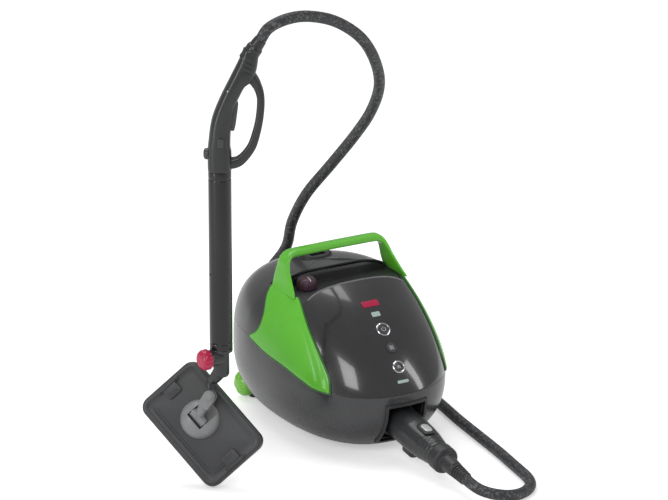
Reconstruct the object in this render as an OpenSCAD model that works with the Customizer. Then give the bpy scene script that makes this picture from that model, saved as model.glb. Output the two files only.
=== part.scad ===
// Canister steam cleaner: an egg-shaped machine on wheels with a boiler, a water
// tank and a pump inside, a steam hose plugged into its nose, and a steam gun with
// one extension tube and a swivelling floor brush. The machine's nose points to -Y.
// The origin lies on the floor, at the centre of the box around machine and wand.

/* [Body] */
// Length of the body, nose to tail
body_l = 428; // [380:1:480]
// Width of the body shell at its waist
body_w = 290; // [270:1:320]
// Height of the widest level above the floor
waist_z = 110; // [104:1:116]
// Height of the rear hump above the floor
body_top = 258; // [250:1:275]
// Clearance between body and floor
body_clear = 11; // [8:1:14]
// Wall thickness of the body mouldings
wall = 3; // [2:0.5:4]
// Visible gap between neighbouring mouldings
seam = 0.4; // [0.3:0.1:0.6]

/* [Deck and handle] */
// Height of the deck floor under the handle
deck_z = 236; // [230:1:240]
// Front edge of the deck, ahead of the middle
deck_front = 54; // [48:1:60]
// Rear edge of the deck, behind the middle
deck_rear = 18; // [14:1:24]
// Top of the carry handle
handle_top = 299; // [290:1:320]
// Thickness of the handle's grip bar
grip_t = 13; // [10:1:16]
// Thickness of the green side panels
panel_t = 2.2; // [1.6:0.2:3]

/* [Wheels] */
// Radius of the rear tyres
tyre_r = 27; // [24:1:30]
// Width of the rear tyres
tyre_w = 22; // [18:1:26]
// Radius of the green wheel hubs
hub_r = 21.5; // [19:0.5:23]
// Distance of the rear axle behind the middle
axle_y = 146; // [138:1:150]
// Radius of the rear axle
axle_r = 4; // [3:0.5:5]
// Radius of the front caster wheel
caster_r = 14; // [12:1:15]
// Distance of the caster ahead of the middle
caster_y = 122; // [115:1:128]

/* [Boiler and water] */
// Outer radius of the boiler
boiler_r = 58; // [50:1:62]
// Height of the boiler's lower edge
boiler_z = 44; // [42:1:50]
// Height of the boiler over both halves
boiler_h = 96; // [84:1:100]
// Wall of the boiler castings
boiler_wall = 3; // [2:0.5:4]
// Bolts around the boiler flange
boiler_bolts_n = 8; // [6:1:10]
// Distance of the filler behind the middle
filler_y = 78; // [72:1:84]
// Radius of the filler cap
filler_r = 25; // [22:1:28]

/* [Panel] */
// Radius of the upper and middle panel buttons
button_r = 9; // [7:0.5:10]
// Radius of the lowest panel button
boost_r = 7.5; // [6:0.5:9]
// Travel of the panel buttons
button_travel = 2; // [1:0.5:3]
// Radius of the steam knob
knob_r = 17; // [14:1:18]

/* [Hose and plug] */
// Outer diameter of the steam hose
hose_d = 18; // [16:1:20]
// Radius of the hose plug's housing
plug_r = 27; // [24:1:28]
// Length of the hose plug's housing
plug_l = 114; // [104:1:120]
// Downward slope of the plug
plug_slope = 8; // [6:1:10]

/* [Wand] */
// Outer radius of the extension tube
tube_r = 18; // [16:0.5:19]
// Wall of the extension tube
tube_wall = 2; // [1.5:0.5:3]
// Height of the tube's lower end
tube_low = 233; // [228:1:238]
// Height of the tube's shoulder under the gun
tube_high = 526; // [520:1:532]
// Half thickness of the gun's body
gun_t = 17.5; // [16:0.5:19]
// Half thickness of the hand guard
guard_t = 6; // [5:0.5:8]

/* [Brush] */
// Length of the floor brush
brush_l = 178; // [160:1:200]
// Width of the floor brush
brush_w = 118; // [104:1:130]
// Height of the brush shell
brush_h = 22; // [18:1:26]
// Corner radius of the brush
brush_corner = 18; // [12:1:24]
// Length of the bristles below the shell
bristle_l = 7; // [5:1:10]

/* [Hidden] */

$fn = 48;
fit = 0.05;         // radial clearance of a shaft in its bore
gap = 0.3;          // clearance between faces of neighbouring pieces
slack = 0.5;        // clearance around a moving cap, button or lever
far = 400;          // reach of a cutting prism
machine_x = 127.2;    // the machine's middle, from the origin
machine_y = 1.1;

// ---------- where the wand, the brush and the plug stand ----------

wand_x = -305;      // the tube's axis, from the machine's middle
wand_y = -161;
wand_turn = -30;    // the gun's plane, turned about the tube
swing_x = -18.6;    // the brush's swing pivot, from the tube's axis
swing_z = 150.4;      // and its height
brush_lift = 20;    // the brush's face looks this far above level
brush_yaw = -38;    // and this far round from the machine's nose
brush_roll = -46;   // the brush's long axis, turned in its own plane
swing_at = [-22, 42, 26];   // the swing pivot in the brush's own frame
tilt_at = [-10, 5, 12];     // the tilt pivot in the brush's own frame
plug_at = [4, -196, 57];    // root of the plug, where it enters the nose
swivel_at = [50, 0, 716];   // the hose swivel, from the foot of the tube
swivel_tilt = 34;           // its lean from upright
swivel_l = 25.6;            // its nose, out to the hose's end

module at_machine() translate([machine_x, machine_y, 0]) children();

module at_wand()
    at_machine() translate([wand_x, wand_y, 0]) rotate([0, 0, wand_turn]) children();

// The brush's own frame: x along it, y across it, z out of its upper face.
module at_brush()
    at_wand() translate([swing_x, 0, swing_z]) rotate([0, 0, -wand_turn])
        rotate([90 - brush_lift, 0, brush_yaw]) rotate([0, 0, brush_roll])
            translate(-swing_at) children();

// The plug's own frame: z along the plug away from the nose, y up.
module at_plug()
    at_machine() translate(plug_at) rotate([90 + plug_slope, 0, 0]) children();

// The swivel's own frame: z along the hose where it leaves the gun.
module at_swivel()
    at_wand() translate(swivel_at) rotate([0, swivel_tilt, 0]) children();

// One moulding made as a single free-form skin.
module moulded() resize([0, 0, 0]) children();

// A prism with an outline of [y, z] points that reaches across the machine.
module side_prism(outline, width = 2 * far)
    rotate([90, 0, 90]) linear_extrude(height = width, center = true) polygon(outline);

// A slab w by l by t with rounded corners, standing on its origin.
module rounded_slab(w, l, t, r)
    linear_extrude(height = t) {
        square([w - 2 * r, l], center = true);
        square([w, l - 2 * r], center = true);
        for (sx = [-1, 1], sy = [-1, 1])
            translate([sx * (w / 2 - r), sy * (l / 2 - r)]) circle(r = r);
    }

// A rod along x.
module x_rod(x0, x1, r) translate([x0, 0, 0]) rotate([0, 90, 0]) cylinder(r = r, h = x1 - x0);

// A rod along y.
module y_rod(y0, y1, r) translate([0, y1, 0]) rotate([90, 0, 0]) cylinder(r = r, h = y1 - y0);

// ---------- the body's free-form skin ----------

around_power = 2.3;   // fullness of the body seen from above
nose_rise = body_top - waist_z + 14;
tail_rise = body_top - waist_z + 2;
flank_rise = 1.52 * (body_top - waist_z);
keel_drop = 1.293 * (waist_z - body_clear);
side_drop = 1.192 * (waist_z - body_clear);

function ease(t) = let (u = max(0, min(1, t))) u * u * (3 - 2 * u);
function round_off(t, n) = pow(max(0, 1 - pow(max(0, t), n)), 1 / n);
function drop(z, reach) = round_off((waist_z - z) / reach, 2.5);
function bulge(v) = sign(v) * pow(abs(v), 2 / around_power);

// How far the skin reaches to the nose, to the tail and sideways at height z.
function nose_reach(z) = body_l / 2
    * (z < waist_z ? drop(z, keel_drop) : round_off((z - waist_z) / nose_rise, 1.4));
function tail_reach(z) = body_l / 2
    * (z < waist_z ? drop(z, keel_drop) : round_off((z - waist_z) / tail_rise, 2.6));
function side_reach(z, rear) = body_w / 2
    * (z < waist_z ? drop(z, side_drop)
        : (1 - rear) * round_off((z - waist_z) / flank_rise, 1.6)
            + rear * round_off((z - waist_z) / tail_rise, 3));

// A point of the skin at height z and bearing a, moved inwards by inset.
function skin_point(z, a, inset) =
    let (rear = ease((0.1 - sin(a)) / 0.35))
    let (reach = sin(a) > 0 ? nose_reach(z) : tail_reach(z))
    let (tall = z < waist_z ? waist_z - body_clear : body_top - waist_z)
    [side_reach(z, rear) * bulge(cos(a)) * (1 - 2 * inset / body_w),
     -reach * bulge(sin(a)) * (1 - 2 * inset / body_l),
     waist_z + (z - waist_z) * (1 - inset / tall)];

// Levels of the skin, closer together towards the flat bottom and the top.
function levels(low_n, up_n) = concat(
    [for (i = [0:low_n]) waist_z - (waist_z - body_clear) * cos(90 * i / low_n)],
    [for (i = [1:up_n]) waist_z + (body_top - waist_z) * sin(90 * i / up_n)]);

module egg(inset = 0, around = 44, low_n = 7, up_n = 10) {
    heights = levels(low_n, up_n);
    rings = len(heights);
    points = [for (z = heights, i = [0:around - 1]) skin_point(z, 360 * i / around, inset)];
    sides = [for (k = [0:rings - 2], i = [0:around - 1])
        let (j = (i + 1) % around)
        [k * around + i, k * around + j, (k + 1) * around + j, (k + 1) * around + i]];
    bottom = [for (i = [around - 1:-1:0]) i];
    lid = [for (i = [0:around - 1]) (rings - 1) * around + i];
    polyhedron(points, concat(sides, [bottom, lid]), convexity = 6);
}

module body_wall() difference() {
    egg();
    egg(wall, around = 32, low_n = 5, up_n = 7);
}

// ---------- split lines, seen from the side as [y, z] ----------

belt = [[45, 153], [-6, 142], [-64, 135], [-106, 124], [-131, 116], [-160, 113]];
belt_nose = [-far, 108];
belt_tail = [far, 153];
brow = [[-150, 138], [-121, 170], [-87, 200], [-deck_front, 228]];
arm_z = deck_z + 2.4;   // feet of the handle's arms
arm_side = [[-40, arm_z], [-32, 246], [-12, 270], [4, handle_top - 8], [8, handle_top],
    [28, handle_top], [31, handle_top - 9], [35, 270], [38, 252], [33, arm_z]];
panel_side = concat([for (p = belt) [p.x, p.y + seam]], [for (p = brow) [p.x + seam, p.y]],
    [[-40, arm_z - seam], [33, arm_z - seam], [27, 224], [18, 204], [17, 184], [24, 172]]);
arm_out = 107.4;   // the arms' feet, from the middle to their outer faces
arm_t = 5.4;

power_z = 199;     // heights of the panel's pieces along its middle line
steam_z = 176;
boost_z = 151;
display_z = 217;
badge_z = 229;
pilot_z = 131;
ring_w = 3.2;
board_drop = 24;   // the control board's depth behind the panel
switch_h = 4;      // height of the switches on the control board
face_bow = 2;      // how far the nose bends back from the flat board beside the middle

function face_tilt(z) = atan2(nose_reach(z - 4) - nose_reach(z + 4), 8);

// A frame on the front panel at height z: its z axis points out of the panel.
module on_face(z) translate([0, -nose_reach(z), z]) rotate([90 - face_tilt(z), 0, 0]) children();

module deck_cut() {
    translate([-far, -deck_front, deck_z]) cube([2 * far, deck_front + deck_rear, far]);
    for (side = [-1, 1]) translate([side * (arm_out - arm_t - 4 + 30), 0, deck_z])
        translate([-30, -deck_front, 0]) cube([60, deck_front + 42, far]);
}

arch_in = 56;        // inner face of the wheel arches from the middle
arch_room = 4;       // room around a tyre

module wheel_wells() for (side = [-1, 1]) translate([side * (arch_in + 40), axle_y, tyre_r])
    x_rod(-40, 40, tyre_r + arch_room);

module wheel_arches() intersection() {
    egg(wall / 2, around = 32, low_n = 5, up_n = 7);
    for (side = [-1, 1]) translate([side * (arch_in + 40 - 2), axle_y, tyre_r])
        x_rod(-40, 40, tyre_r + arch_room + 2);
}

socket_half = plug_r + 7;
socket_low = 24;
socket_high = 92;
module socket_mouth(grow = 0)
    translate([plug_at.x - socket_half - grow, -far, socket_low - grow])
        cube([2 * (socket_half + grow), far - 174, socket_high - socket_low + 2 * grow]);

post_at = [[62, -60], [62, 70], [-62, -60], [-62, 70]];
screw_r = 1.9;

// ---------- body mouldings ----------

module base_shell() color("#2b2c2e") at_machine() moulded() difference() {
    union() {
        intersection() {
            body_wall();
            side_prism(concat([[-far, -1], belt_nose], [for (i = [len(belt) - 1:-1:0]) belt[i]],
                [belt_tail, [far, -1]]));
        }
        wheel_arches();
    }
    wheel_wells();
    translate([0, axle_y, tyre_r]) x_rod(-far, far, axle_r + 1);
    socket_mouth();
    translate([0, -caster_y, 0]) cylinder(r = caster_r + 14, h = 24);
    translate([0, 0, gland_z]) y_rod(100, far, gland_r + gap);
    for (p = post_at) translate([p.x, p.y, 0]) cylinder(r = screw_r + gap, h = 30, $fn = 16);
}

module upper_shell() color("#303134") at_machine() moulded() difference() {
    intersection() {
        body_wall();
        translate([0, seam, seam]) side_prism(concat([[far, far], belt_tail], belt, brow,
            [[-deck_front, far]]));
    }
    deck_cut();
    translate([0, filler_y, deck_z - 20]) cylinder(r = filler_r + slack, h = 60);
}

module front_panel() color("#1f2022") at_machine() moulded() difference() {
    union() {
        intersection() {
            body_wall();
            translate([0, 0, seam]) side_prism(concat([[-far, far], belt_nose, belt[5]], brow,
                [[-deck_front, far]]));
        }
        // posts that carry the control board
        intersection() {
            egg(wall / 2, around = 24, low_n = 4, up_n = 6);
            on_face(steam_z) for (sx = [-1, 1], sy = [-1, 1])
                translate([sx * 30, sy * 30, gap - board_drop]) cylinder(r = 3, h = 40, $fn = 16);
        }
    }
    for (z = [power_z, boost_z]) on_face(z) ring_seat(z == boost_z ? boost_r : button_r);
    on_face(steam_z) translate([0, 0, -12]) cylinder(r = button_r + slack, h = 24);
    on_face(display_z) translate([0, 0, -1]) rounded_slab(16, 10, 9, 2, $fn = 16);
    on_face(badge_z) translate([0, 0, -1]) rounded_slab(31, 13, 9, 2, $fn = 16);
    on_face(pilot_z) translate([0, 0, -1]) rounded_slab(21, 6, 9, 2, $fn = 16);
}

module ring_seat(r) {
    translate([0, 0, -12]) cylinder(r = r + slack, h = 24);
    translate([0, 0, -1.2]) cylinder(r = r + ring_w + gap, h = 9);
}

module side_panel(side) color("#7ddb3c") at_machine() moulded() intersection() {
    difference() {
        egg(-seam - panel_t);
        egg(-seam);
    }
    side_prism(panel_side);
    translate([side < 0 ? -far : 40, -far, 0]) cube([far - 40, 2 * far, arm_z - seam]);
}

module side_panel_left() side_panel(-1);
module side_panel_right() side_panel(1);

function mirrored(points) = [for (i = [len(points) - 1:-1:0]) [-points[i].x, points[i].y]];

module carry_handle() color("#6fd12e") at_machine() intersection() {
    side_prism(arm_side);
    rotate([90, 0, 0]) linear_extrude(height = far, center = true) {
        outer = [[arm_out, arm_z], [104, 250], [99, 270], [95, handle_top - 15],
            [90, handle_top - 6], [81, handle_top - 1], [60, handle_top]];
        inner = [[arm_out - arm_t, arm_z - 1], [98.5, 250], [93.4, 270],
            [89, handle_top - grip_t - 6], [81, handle_top - grip_t - 1],
            [60, handle_top - grip_t]];
        difference() {
            polygon(concat(outer, mirrored(outer)));
            polygon(concat(inner, mirrored(inner)));
        }
    }
}

module deck_tray() color("#222325") at_machine() moulded() difference() {
    intersection() {
        egg(wall + 1.5, around = 40);
        union() {
            translate([-far, -deck_front - wall, deck_z - wall])
                cube([2 * far, deck_front + deck_rear + wall - gap, wall]);
            translate([-far, -deck_front - wall, deck_z - wall]) cube([2 * far, wall - gap, 60]);
            translate([-far, deck_rear - wall - gap, deck_z - wall])
                cube([2 * far, wall, 60]);
        }
    }
    translate([knob_x, knob_y, 0]) cylinder(r = 6, h = far);
}

socket_frame_t = 2.5;
module socket_frame() color("#1b1c1d") at_machine() moulded() intersection() {
    difference() {
        egg(-gap - socket_frame_t);
        egg(-gap);
        socket_mouth();
    }
    socket_mouth(5);
    translate([-far, -far, socket_low - 5]) cube([2 * far, far - 120, 200]);
}

// ---------- running gear ----------

axle_half = 110;     // from the middle to the outer face of a hub
tyre_in = 64;        // inner face of a tyre from the middle
tyre_bore = 17;      // radius where the tyre sits on its hub
chassis_z = 30;
caster_lead = 6;     // the fork's pivot lies this far ahead of the wheel
caster_w = 12;
caster_pin = 2.5;
stem_r = 5;
crown_z = 2 * caster_r + 1;

socket_floor = plug_at.z + 32 * tan(plug_slope) - 21 / cos(plug_slope);

module chassis() color("#3a3b3d") at_machine() {
    difference() {
        union() {
            translate([0, -2, chassis_z]) rounded_slab(150, 190, wall, 12);
            translate([0, 106, chassis_z]) rounded_slab(96, 52, wall, 6);
            for (side = [-1, 1]) translate([side * 50, axle_y, tyre_r]) {
                x_rod(-3, 3, axle_r + 3);
                translate([-3, -40, -4]) cube([6, 40, chassis_z + wall - tyre_r + 4]);
            }
            translate([0, -caster_y, crown_z + 5]) cylinder(r = 11, h = 24);
            translate([-9, -caster_y, crown_z + 5]) cube([18, caster_y - 88, 6]);
            translate([-9, -96, chassis_z]) cube([18, 8, crown_z + 11 - chassis_z]);
            translate([-6, -166, crown_z + 5]) cube([20, 40, 3]);
            translate([-2, -164, crown_z + 5]) cube([12, 12, socket_floor - gap - crown_z - 5]);
            for (p = post_at) translate([p.x, p.y, body_clear + wall + gap])
                cylinder(r = 5, h = chassis_z - body_clear - wall - gap);
            // cradle of the water tank
            for (side = [-1, 1]) translate([side * 43 - 1.5, 84, chassis_z])
                cube([3, 44, tank_z - chassis_z]);
            // posts of the boiler
            for (a = [45:90:315])
                translate([(boiler_r - 14) * cos(a), (boiler_r - 14) * sin(a) - boiler_y, chassis_z])
                    cylinder(r = 5, h = boiler_z - chassis_z);
        }
        translate([0, -caster_y, 0]) cylinder(r = stem_r + fit, h = far);
        translate([0, axle_y, tyre_r]) x_rod(-far, far, axle_r + fit);
        for (p = post_at) translate([p.x, p.y, 0]) cylinder(r = screw_r + 0.1, h = 26);
    }
}

module rear_axle() color("silver") at_machine()
    translate([0, axle_y, tyre_r]) x_rod(-axle_half + 8, axle_half - 8, axle_r);

module at_wheel(side)
    at_machine() translate([side * tyre_in, axle_y, tyre_r]) rotate([0, 90 * side, 0]) children();

module tyre(side) color("#19191a") at_wheel(side) rotate_extrude() polygon([
    [tyre_bore, 1], [tyre_r - 3, 0], [tyre_r - 1, 1], [tyre_r, 4], [tyre_r, tyre_w - 4],
    [tyre_r - 1, tyre_w - 1], [tyre_r - 3, tyre_w], [tyre_bore, tyre_w - 1]]);

module hub(side) color("#8fd63f") at_wheel(side) {
    face = axle_half - tyre_in;
    rotate_extrude() polygon([
        [axle_r + fit, 0], [tyre_bore, 1], [tyre_bore, tyre_w + 0.4], [hub_r, tyre_w + 0.4],
        [hub_r, face - 14], [hub_r - 2, face - 8], [hub_r - 8, face - 2], [0, face],
        [0, face - 6], [axle_r + fit, face - 6]]);
}

module tyre_left() tyre(-1);
module tyre_right() tyre(1);
module hub_left() hub(-1);
module hub_right() hub(1);

module at_caster() at_machine() translate([0, -caster_y, 0]) children();

module caster_fork() color("#232325") at_caster() {
    translate([0, 0, crown_z]) cylinder(r = stem_r, h = 26);
    translate([0, 0, crown_z]) cylinder(r = 11, h = 4);
    for (side = [-1, 1]) translate([side * (caster_w / 2 + 1.8), caster_lead, caster_r]) {
        x_rod(-1.25, 1.25, 6);
        translate([-1.25, -6 - caster_lead / 2, 0]) cube([2.5, 12, crown_z - caster_r + 2]);
    }
    translate([0, caster_lead, caster_r]) x_rod(-caster_w / 2 - 2, caster_w / 2 + 2, caster_pin);
}

module caster_wheel() color("#141415") at_caster()
    translate([-caster_w / 2, caster_lead, caster_r]) rotate([0, 90, 0])
        rotate_extrude() polygon([
            [caster_pin + fit, 0], [caster_r - 2, 0], [caster_r, 2], [caster_r, caster_w - 2],
            [caster_r - 2, caster_w], [caster_pin + fit, caster_w]]);

// ---------- boiler, water and steam ----------

boiler_y = 38;       // ahead of the middle
flange_w = 9;
flange_t = 4;
half_h = boiler_h / 2;
bolt_ring = boiler_r + 5;
bolt_r = 2;
element_r = 36;
element_t = 4;
boiler_top = boiler_z + boiler_h;
tank_z = 112;
tank_l = 94;
tank_w = 132;
tank_h = 94;
tank_y = 89;
neck_r = 22;
plug_bore = 17.4;
neck_top = 244;
knob_x = -62;
knob_y = -4;

module at_boiler() at_machine() translate([0, -boiler_y, boiler_z]) children();

module boiler_cup() rotate_extrude() polygon([
    [0, 0], [boiler_r - 10, 0], [boiler_r - 3, 3], [boiler_r, 10],
    [boiler_r, half_h - flange_t], [boiler_r + flange_w, half_h - flange_t],
    [boiler_r + flange_w, half_h], [boiler_r - boiler_wall, half_h],
    [boiler_r - boiler_wall, 10 + boiler_wall], [boiler_r - 10 - boiler_wall, boiler_wall],
    [0, boiler_wall]]);

module bolt_holes() for (i = [0:boiler_bolts_n - 1])
    rotate([0, 0, 360 * (i + 0.5) / boiler_bolts_n])
        translate([bolt_ring, 0, half_h - 9]) cylinder(r = bolt_r + 0.2, h = 18);

module boiler_lower() color("#a7a9ac") at_boiler() difference() {
    boiler_cup();
    bolt_holes();
    for (side = [-1, 1]) translate([side * 12, element_r, -1])
        cylinder(r = element_t + gap, h = 9);
}

module boiler_upper() color("#b1b3b6") at_boiler() difference() {
    translate([0, 0, boiler_h]) mirror([0, 0, 1]) boiler_cup();
    bolt_holes();
}

module boiler_bolts() color("#8a8c90") at_boiler() for (i = [0:boiler_bolts_n - 1])
    rotate([0, 0, 360 * (i + 0.5) / boiler_bolts_n]) translate([bolt_ring, 0, half_h]) {
        translate([0, 0, -9]) cylinder(r = bolt_r, h = 14);
        translate([0, 0, flange_t + 0.1]) cylinder(r = 3.6, h = 3, $fn = 6);
        translate([0, 0, -flange_t - 3.1]) cylinder(r = 3.6, h = 3, $fn = 6);
    }

module heating_element() color("#6d5a49") at_boiler() {
    translate([0, 0, boiler_wall + element_t + 3]) rotate_extrude()
        translate([norm([12, element_r]), 0]) circle(r = element_t);
    for (side = [-1, 1]) translate([side * 12, element_r, -5])
        cylinder(r = element_t, h = boiler_wall + element_t + 8);
}

module water_tank() color("#c9d6dc", 0.7) at_machine() {
    difference() {
        union() {
            translate([0, tank_y, tank_z]) rounded_slab(tank_w, tank_l, tank_h, 14);
            translate([0, filler_y, tank_z + tank_h - 1])
                cylinder(r = neck_r, h = neck_top - tank_z - tank_h + 1);
        }
        translate([0, tank_y, tank_z + 2.5])
            rounded_slab(tank_w - 5, tank_l - 5, tank_h - 5, 12);
        translate([0, filler_y, tank_z + tank_h - 6]) cylinder(r = plug_bore, h = 60);
    }
}

module filler_plug() color("#4b4d50") at_machine() translate([0, filler_y, 0]) {
    translate([0, 0, 222]) cylinder(r = plug_bore - fit, h = neck_top + gap - 222);
    translate([0, 0, neck_top + gap]) cylinder(r = neck_r, h = 2.4);
}

cap_low = neck_top + gap + 2.4 + gap;
cap_top = body_top + 3;
module filler_cap() color("#26272a") at_machine() translate([0, filler_y, 0]) difference() {
    union() {
        translate([0, 0, cap_low]) cylinder(r = filler_r, h = cap_top - 2 - cap_low);
        translate([0, 0, cap_top - 2]) rotate_extrude()
            polygon([[0, 0], [filler_r, 0], [filler_r - 2, 2], [0, 2]]);
    }
    for (side = [-1, 1]) translate([-14, side * 9 - 5 + side * 1, cap_top - 5])
        cube([28, 10, 9]);
}

pump_x = -18;
pump_y = 104;
pump_z = 50;
pump_stroke = 4;
piston_r = 7;
module pump_body() color("#5b6167") at_machine() translate([pump_x, pump_y, pump_z]) difference() {
    union() {
        translate([-18, -18, chassis_z + wall + gap - pump_z])
            cube([36, 36, 2 * (pump_z - chassis_z - wall - gap)]);
        y_rod(14, 28, 5);
        translate([8, -8, 14]) cylinder(r = 5, h = 6);
    }
    y_rod(-19, 12, piston_r + fit);
}

module pump_plunger() color("#c9cacc") at_machine() translate([pump_x, pump_y, pump_z]) {
    y_rod(-30, 12 - pump_stroke - 1, piston_r);
    y_rod(-34, -30, piston_r + 3);
}

valve_x = 28;
valve_low = 192;
spindle_r = 4;
module steam_valves() color("#b08d3c") at_machine() {
    // solenoid valve on the boiler
    translate([valve_x, -boiler_y, boiler_top + gap]) {
        translate([-13, -14, 0]) cube([26, 28, 18]);
        translate([0, 0, 18]) cylinder(r = 11, h = 20);
    }
    // regulator valve under the steam knob
    translate([knob_x, knob_y, valve_low]) difference() {
        cylinder(r = 13, h = deck_z - wall - gap - valve_low);
        translate([0, 0, 8]) cylinder(r = spindle_r + fit, h = 60);
    }
}

module safety_valve() color("#b9973f") at_machine()
    translate([-30, -boiler_y - 12, boiler_top + gap]) {
        cylinder(r = 8, h = 6, $fn = 6);
        cylinder(r = 6, h = 24);
        translate([0, 0, 24]) cylinder(r = 4, h = 5);
    }

module boiler_sensors() color("#2f3032") at_machine() {
    translate([-12, -boiler_y + 30, boiler_top + gap]) {
        cylinder(r = 9, h = 5);
        translate([-6, -3, 5]) cube([12, 6, 8]);
    }
    translate([8, -boiler_y - 36, boiler_top + gap]) {
        cylinder(r = 9, h = 20);
        translate([-4, -4, 20]) cube([8, 8, 7]);
    }
}

pipe_r = 3;
bend_r = 6;          // how far before a corner a pipe starts to bend
pipe_turn = 78;      // height of the pipe from the pump to the boiler

// A path through points p with its corners rounded.
function bent(p) = [for (i = [0:len(p) - 1])
    each i == 0 || i == len(p) - 1 ? [p[i]]
        : let (a = p[i] + bend_r * unit(p[i - 1] - p[i]), b = p[i] + bend_r * unit(p[i + 1] - p[i]))
            [a, (9 * a + 6 * p[i] + b) / 16, (a + 2 * p[i] + b) / 4, (a + 6 * p[i] + 9 * b) / 16, b]];

module pipe_run(points) tube_along(bent(points), pipe_r, 12);

module steam_pipes() color("#c7a45a") {
    at_machine() {
        // boiler steam to the regulator
        pipe_run([[valve_x - 13 - gap, -boiler_y, 150], [-46, -boiler_y, 150],
            [-46, -boiler_y, 176], [knob_x, knob_y, 176], [knob_x, knob_y, valve_low - gap]]);
        // regulator to the hose socket
        pipe_run([[knob_x - 13 - gap, knob_y, 205], [-84, knob_y, 205], [-84, knob_y, 66],
            [-84, -136, 66], [-40, -158, 66], [plug_at.x - 21 - gap, -158, 66]]);
        // tank to the pump, and the pump to the boiler
        pipe_run([[pump_x, pump_y + 28 + gap + pipe_r, pump_z - 4],
            [pump_x, pump_y + 28 + gap + pipe_r, tank_z - gap]]);
        pipe_run([[pump_x + 8, pump_y - 8, pump_z + 20 + gap],
            [pump_x + 8, pump_y - 8, pipe_turn],
            [pump_x + 8, boiler_r - boiler_y - gap, pipe_turn]]);
    }
    // steam pipe inside the gun
    at_wand() pipe_run([[0, 0, socket_top], [0, 0, 571], [5, 9.5, 588], [7, 9.5, 612],
        [11, 9.5, 634], [23, 8, 652], [38, 5, 676], [40.5, 1, 702]]);
}

module control_board() color("#2d5a3a") at_machine() on_face(steam_z) {
    translate([0, 0, -board_drop - 1.6]) rounded_slab(74, 74, 1.6, 3);
    for (y = [-31, 0, 31]) translate([-4, y - 4, -board_drop]) cube([8, 8, switch_h]);
    translate([16, -14, -board_drop]) cube([14, 20, 8]);
}

module steam_knob() color("#4a3140") at_machine() translate([knob_x, knob_y, 0]) {
    translate([0, 0, valve_low + 14]) cylinder(r = spindle_r, h = deck_z + gap + 4 - valve_low - 14);
    translate([0, 0, deck_z + slack]) rotate_extrude() polygon([
        [0, 0], [knob_r, 0], [knob_r, 10], [knob_r - 1, 15], [knob_r - 5, 18.5], [0, 20]]);
    for (a = [0:30:330]) rotate([0, 0, a]) translate([knob_r - 1, -1.2, deck_z + slack + 1])
        cube([1.8, 2.4, 9]);
}

// ---------- panel ----------

module panel_button(z, r, bow = 0) at_machine() on_face(z) {
    translate([0, 0, -3]) cylinder(r = r, h = 4.6);
    stem_end = -board_drop + switch_h + button_travel + gap + bow;
    translate([0, 0, stem_end]) cylinder(r = 2.5, h = -stem_end - 2);
}

module power_button() color("#d9dadb") panel_button(power_z, button_r, face_bow);
module steam_button() color("#3f4043") panel_button(steam_z, button_r);
module boost_button() color("#d2d3d4") panel_button(boost_z, boost_r, face_bow);

module panel_ring(r) translate([0, 0, -1]) difference() {
    cylinder(r = r + ring_w, h = 2.4);
    translate([0, 0, -1]) cylinder(r = r + slack, h = 5);
}

module panel_rings() color("#c8c9ca") at_machine() {
    on_face(power_z) panel_ring(button_r);
    on_face(boost_z) panel_ring(boost_r);
}

module panel_lenses() color("#bfe0d2") at_machine() {
    on_face(display_z) translate([0, 0, -0.8]) rounded_slab(15, 9, 1.6, 1.8);
    on_face(pilot_z) translate([0, 0, -0.8]) rounded_slab(20, 5, 1.6, 1.8);
}

module badge_plate() color("#b0164a") at_machine()
    on_face(badge_z) translate([0, 0, -0.8]) rounded_slab(30, 12, 1.4, 1.8);

// ---------- hose socket and plug ----------

gland_z = 62;
gland_r = 8;
gland_face = tail_reach(gland_z + gland_r + 3) + gap;
spigot_r = 15.7;
socket_bore = spigot_r + gap;
plug_root = -16;     // the housing's rear face along the plug
module hose_socket() color("#17181a") at_plug() rotate_extrude() polygon([
    [0, -54], [21, -54], [21, -20], [plug_r + 5, -20], [plug_r + 5, plug_root - gap],
    [socket_bore, plug_root - gap], [socket_bore, -51], [0, -51]]);

module cord_gland() color("#161617") at_machine() translate([0, 0, gland_z]) difference() {
    union() {
        y_rod(188, gland_face + 1, gland_r);
        y_rod(gland_face, gland_face + 3, gland_r + 3);
    }
    y_rod(180, 240, 3.6);
}

latch_at = 72;       // centre of the latch along the plug
latch_l = 24;
latch_w = 14;
latch_travel = 3;
module plug_housing() color("#2a2b2c") at_plug() difference() {
    union() {
        rotate_extrude() polygon([
            [0, -48], [spigot_r - 1, -48], [spigot_r, -46], [spigot_r, plug_root],
            [plug_r - 3, plug_root], [plug_r, plug_root + 5], [plug_r, 44], [plug_r - 2, 80],
            [plug_r - 6, plug_l - 8], [plug_r - 9, plug_l], [0, plug_l]]);
        translate([-9, -plug_r - 5, 24]) cube([18, 14, 30]);
    }
    translate([-latch_w / 2 - slack, 16, latch_at - latch_l / 2 - slack])
        cube([latch_w + 2 * slack, 20, latch_l + 2 * slack]);
}

module plug_latch() color("#cfd0d1") at_plug() translate([0, 16 + latch_travel + 1, latch_at])
    rotate([-90, 0, 0]) rounded_slab(latch_w, latch_l, plug_r - 16 - latch_travel + 1.5, 6.5);

sleeve_end = plug_l + 84.6;
rib_r = 12.4;
module hose_sleeve() color("#303133") at_plug() {
    rotate_extrude() polygon([
        [0, plug_l + gap], [20, plug_l + gap], [22.5, plug_l + 3], [22.5, plug_l + 21],
        [20.5, plug_l + 24], [14.5, plug_l + 26], [13, plug_l + 50], [rib_r - 1.6, plug_l + 53],
        [rib_r - 2.4, sleeve_end], [0, sleeve_end]]);
    for (i = [0:4]) translate([0, 0, plug_l + 56 + 6 * i])
        cylinder(r = rib_r - 0.3 * i, h = 3);
}

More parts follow.
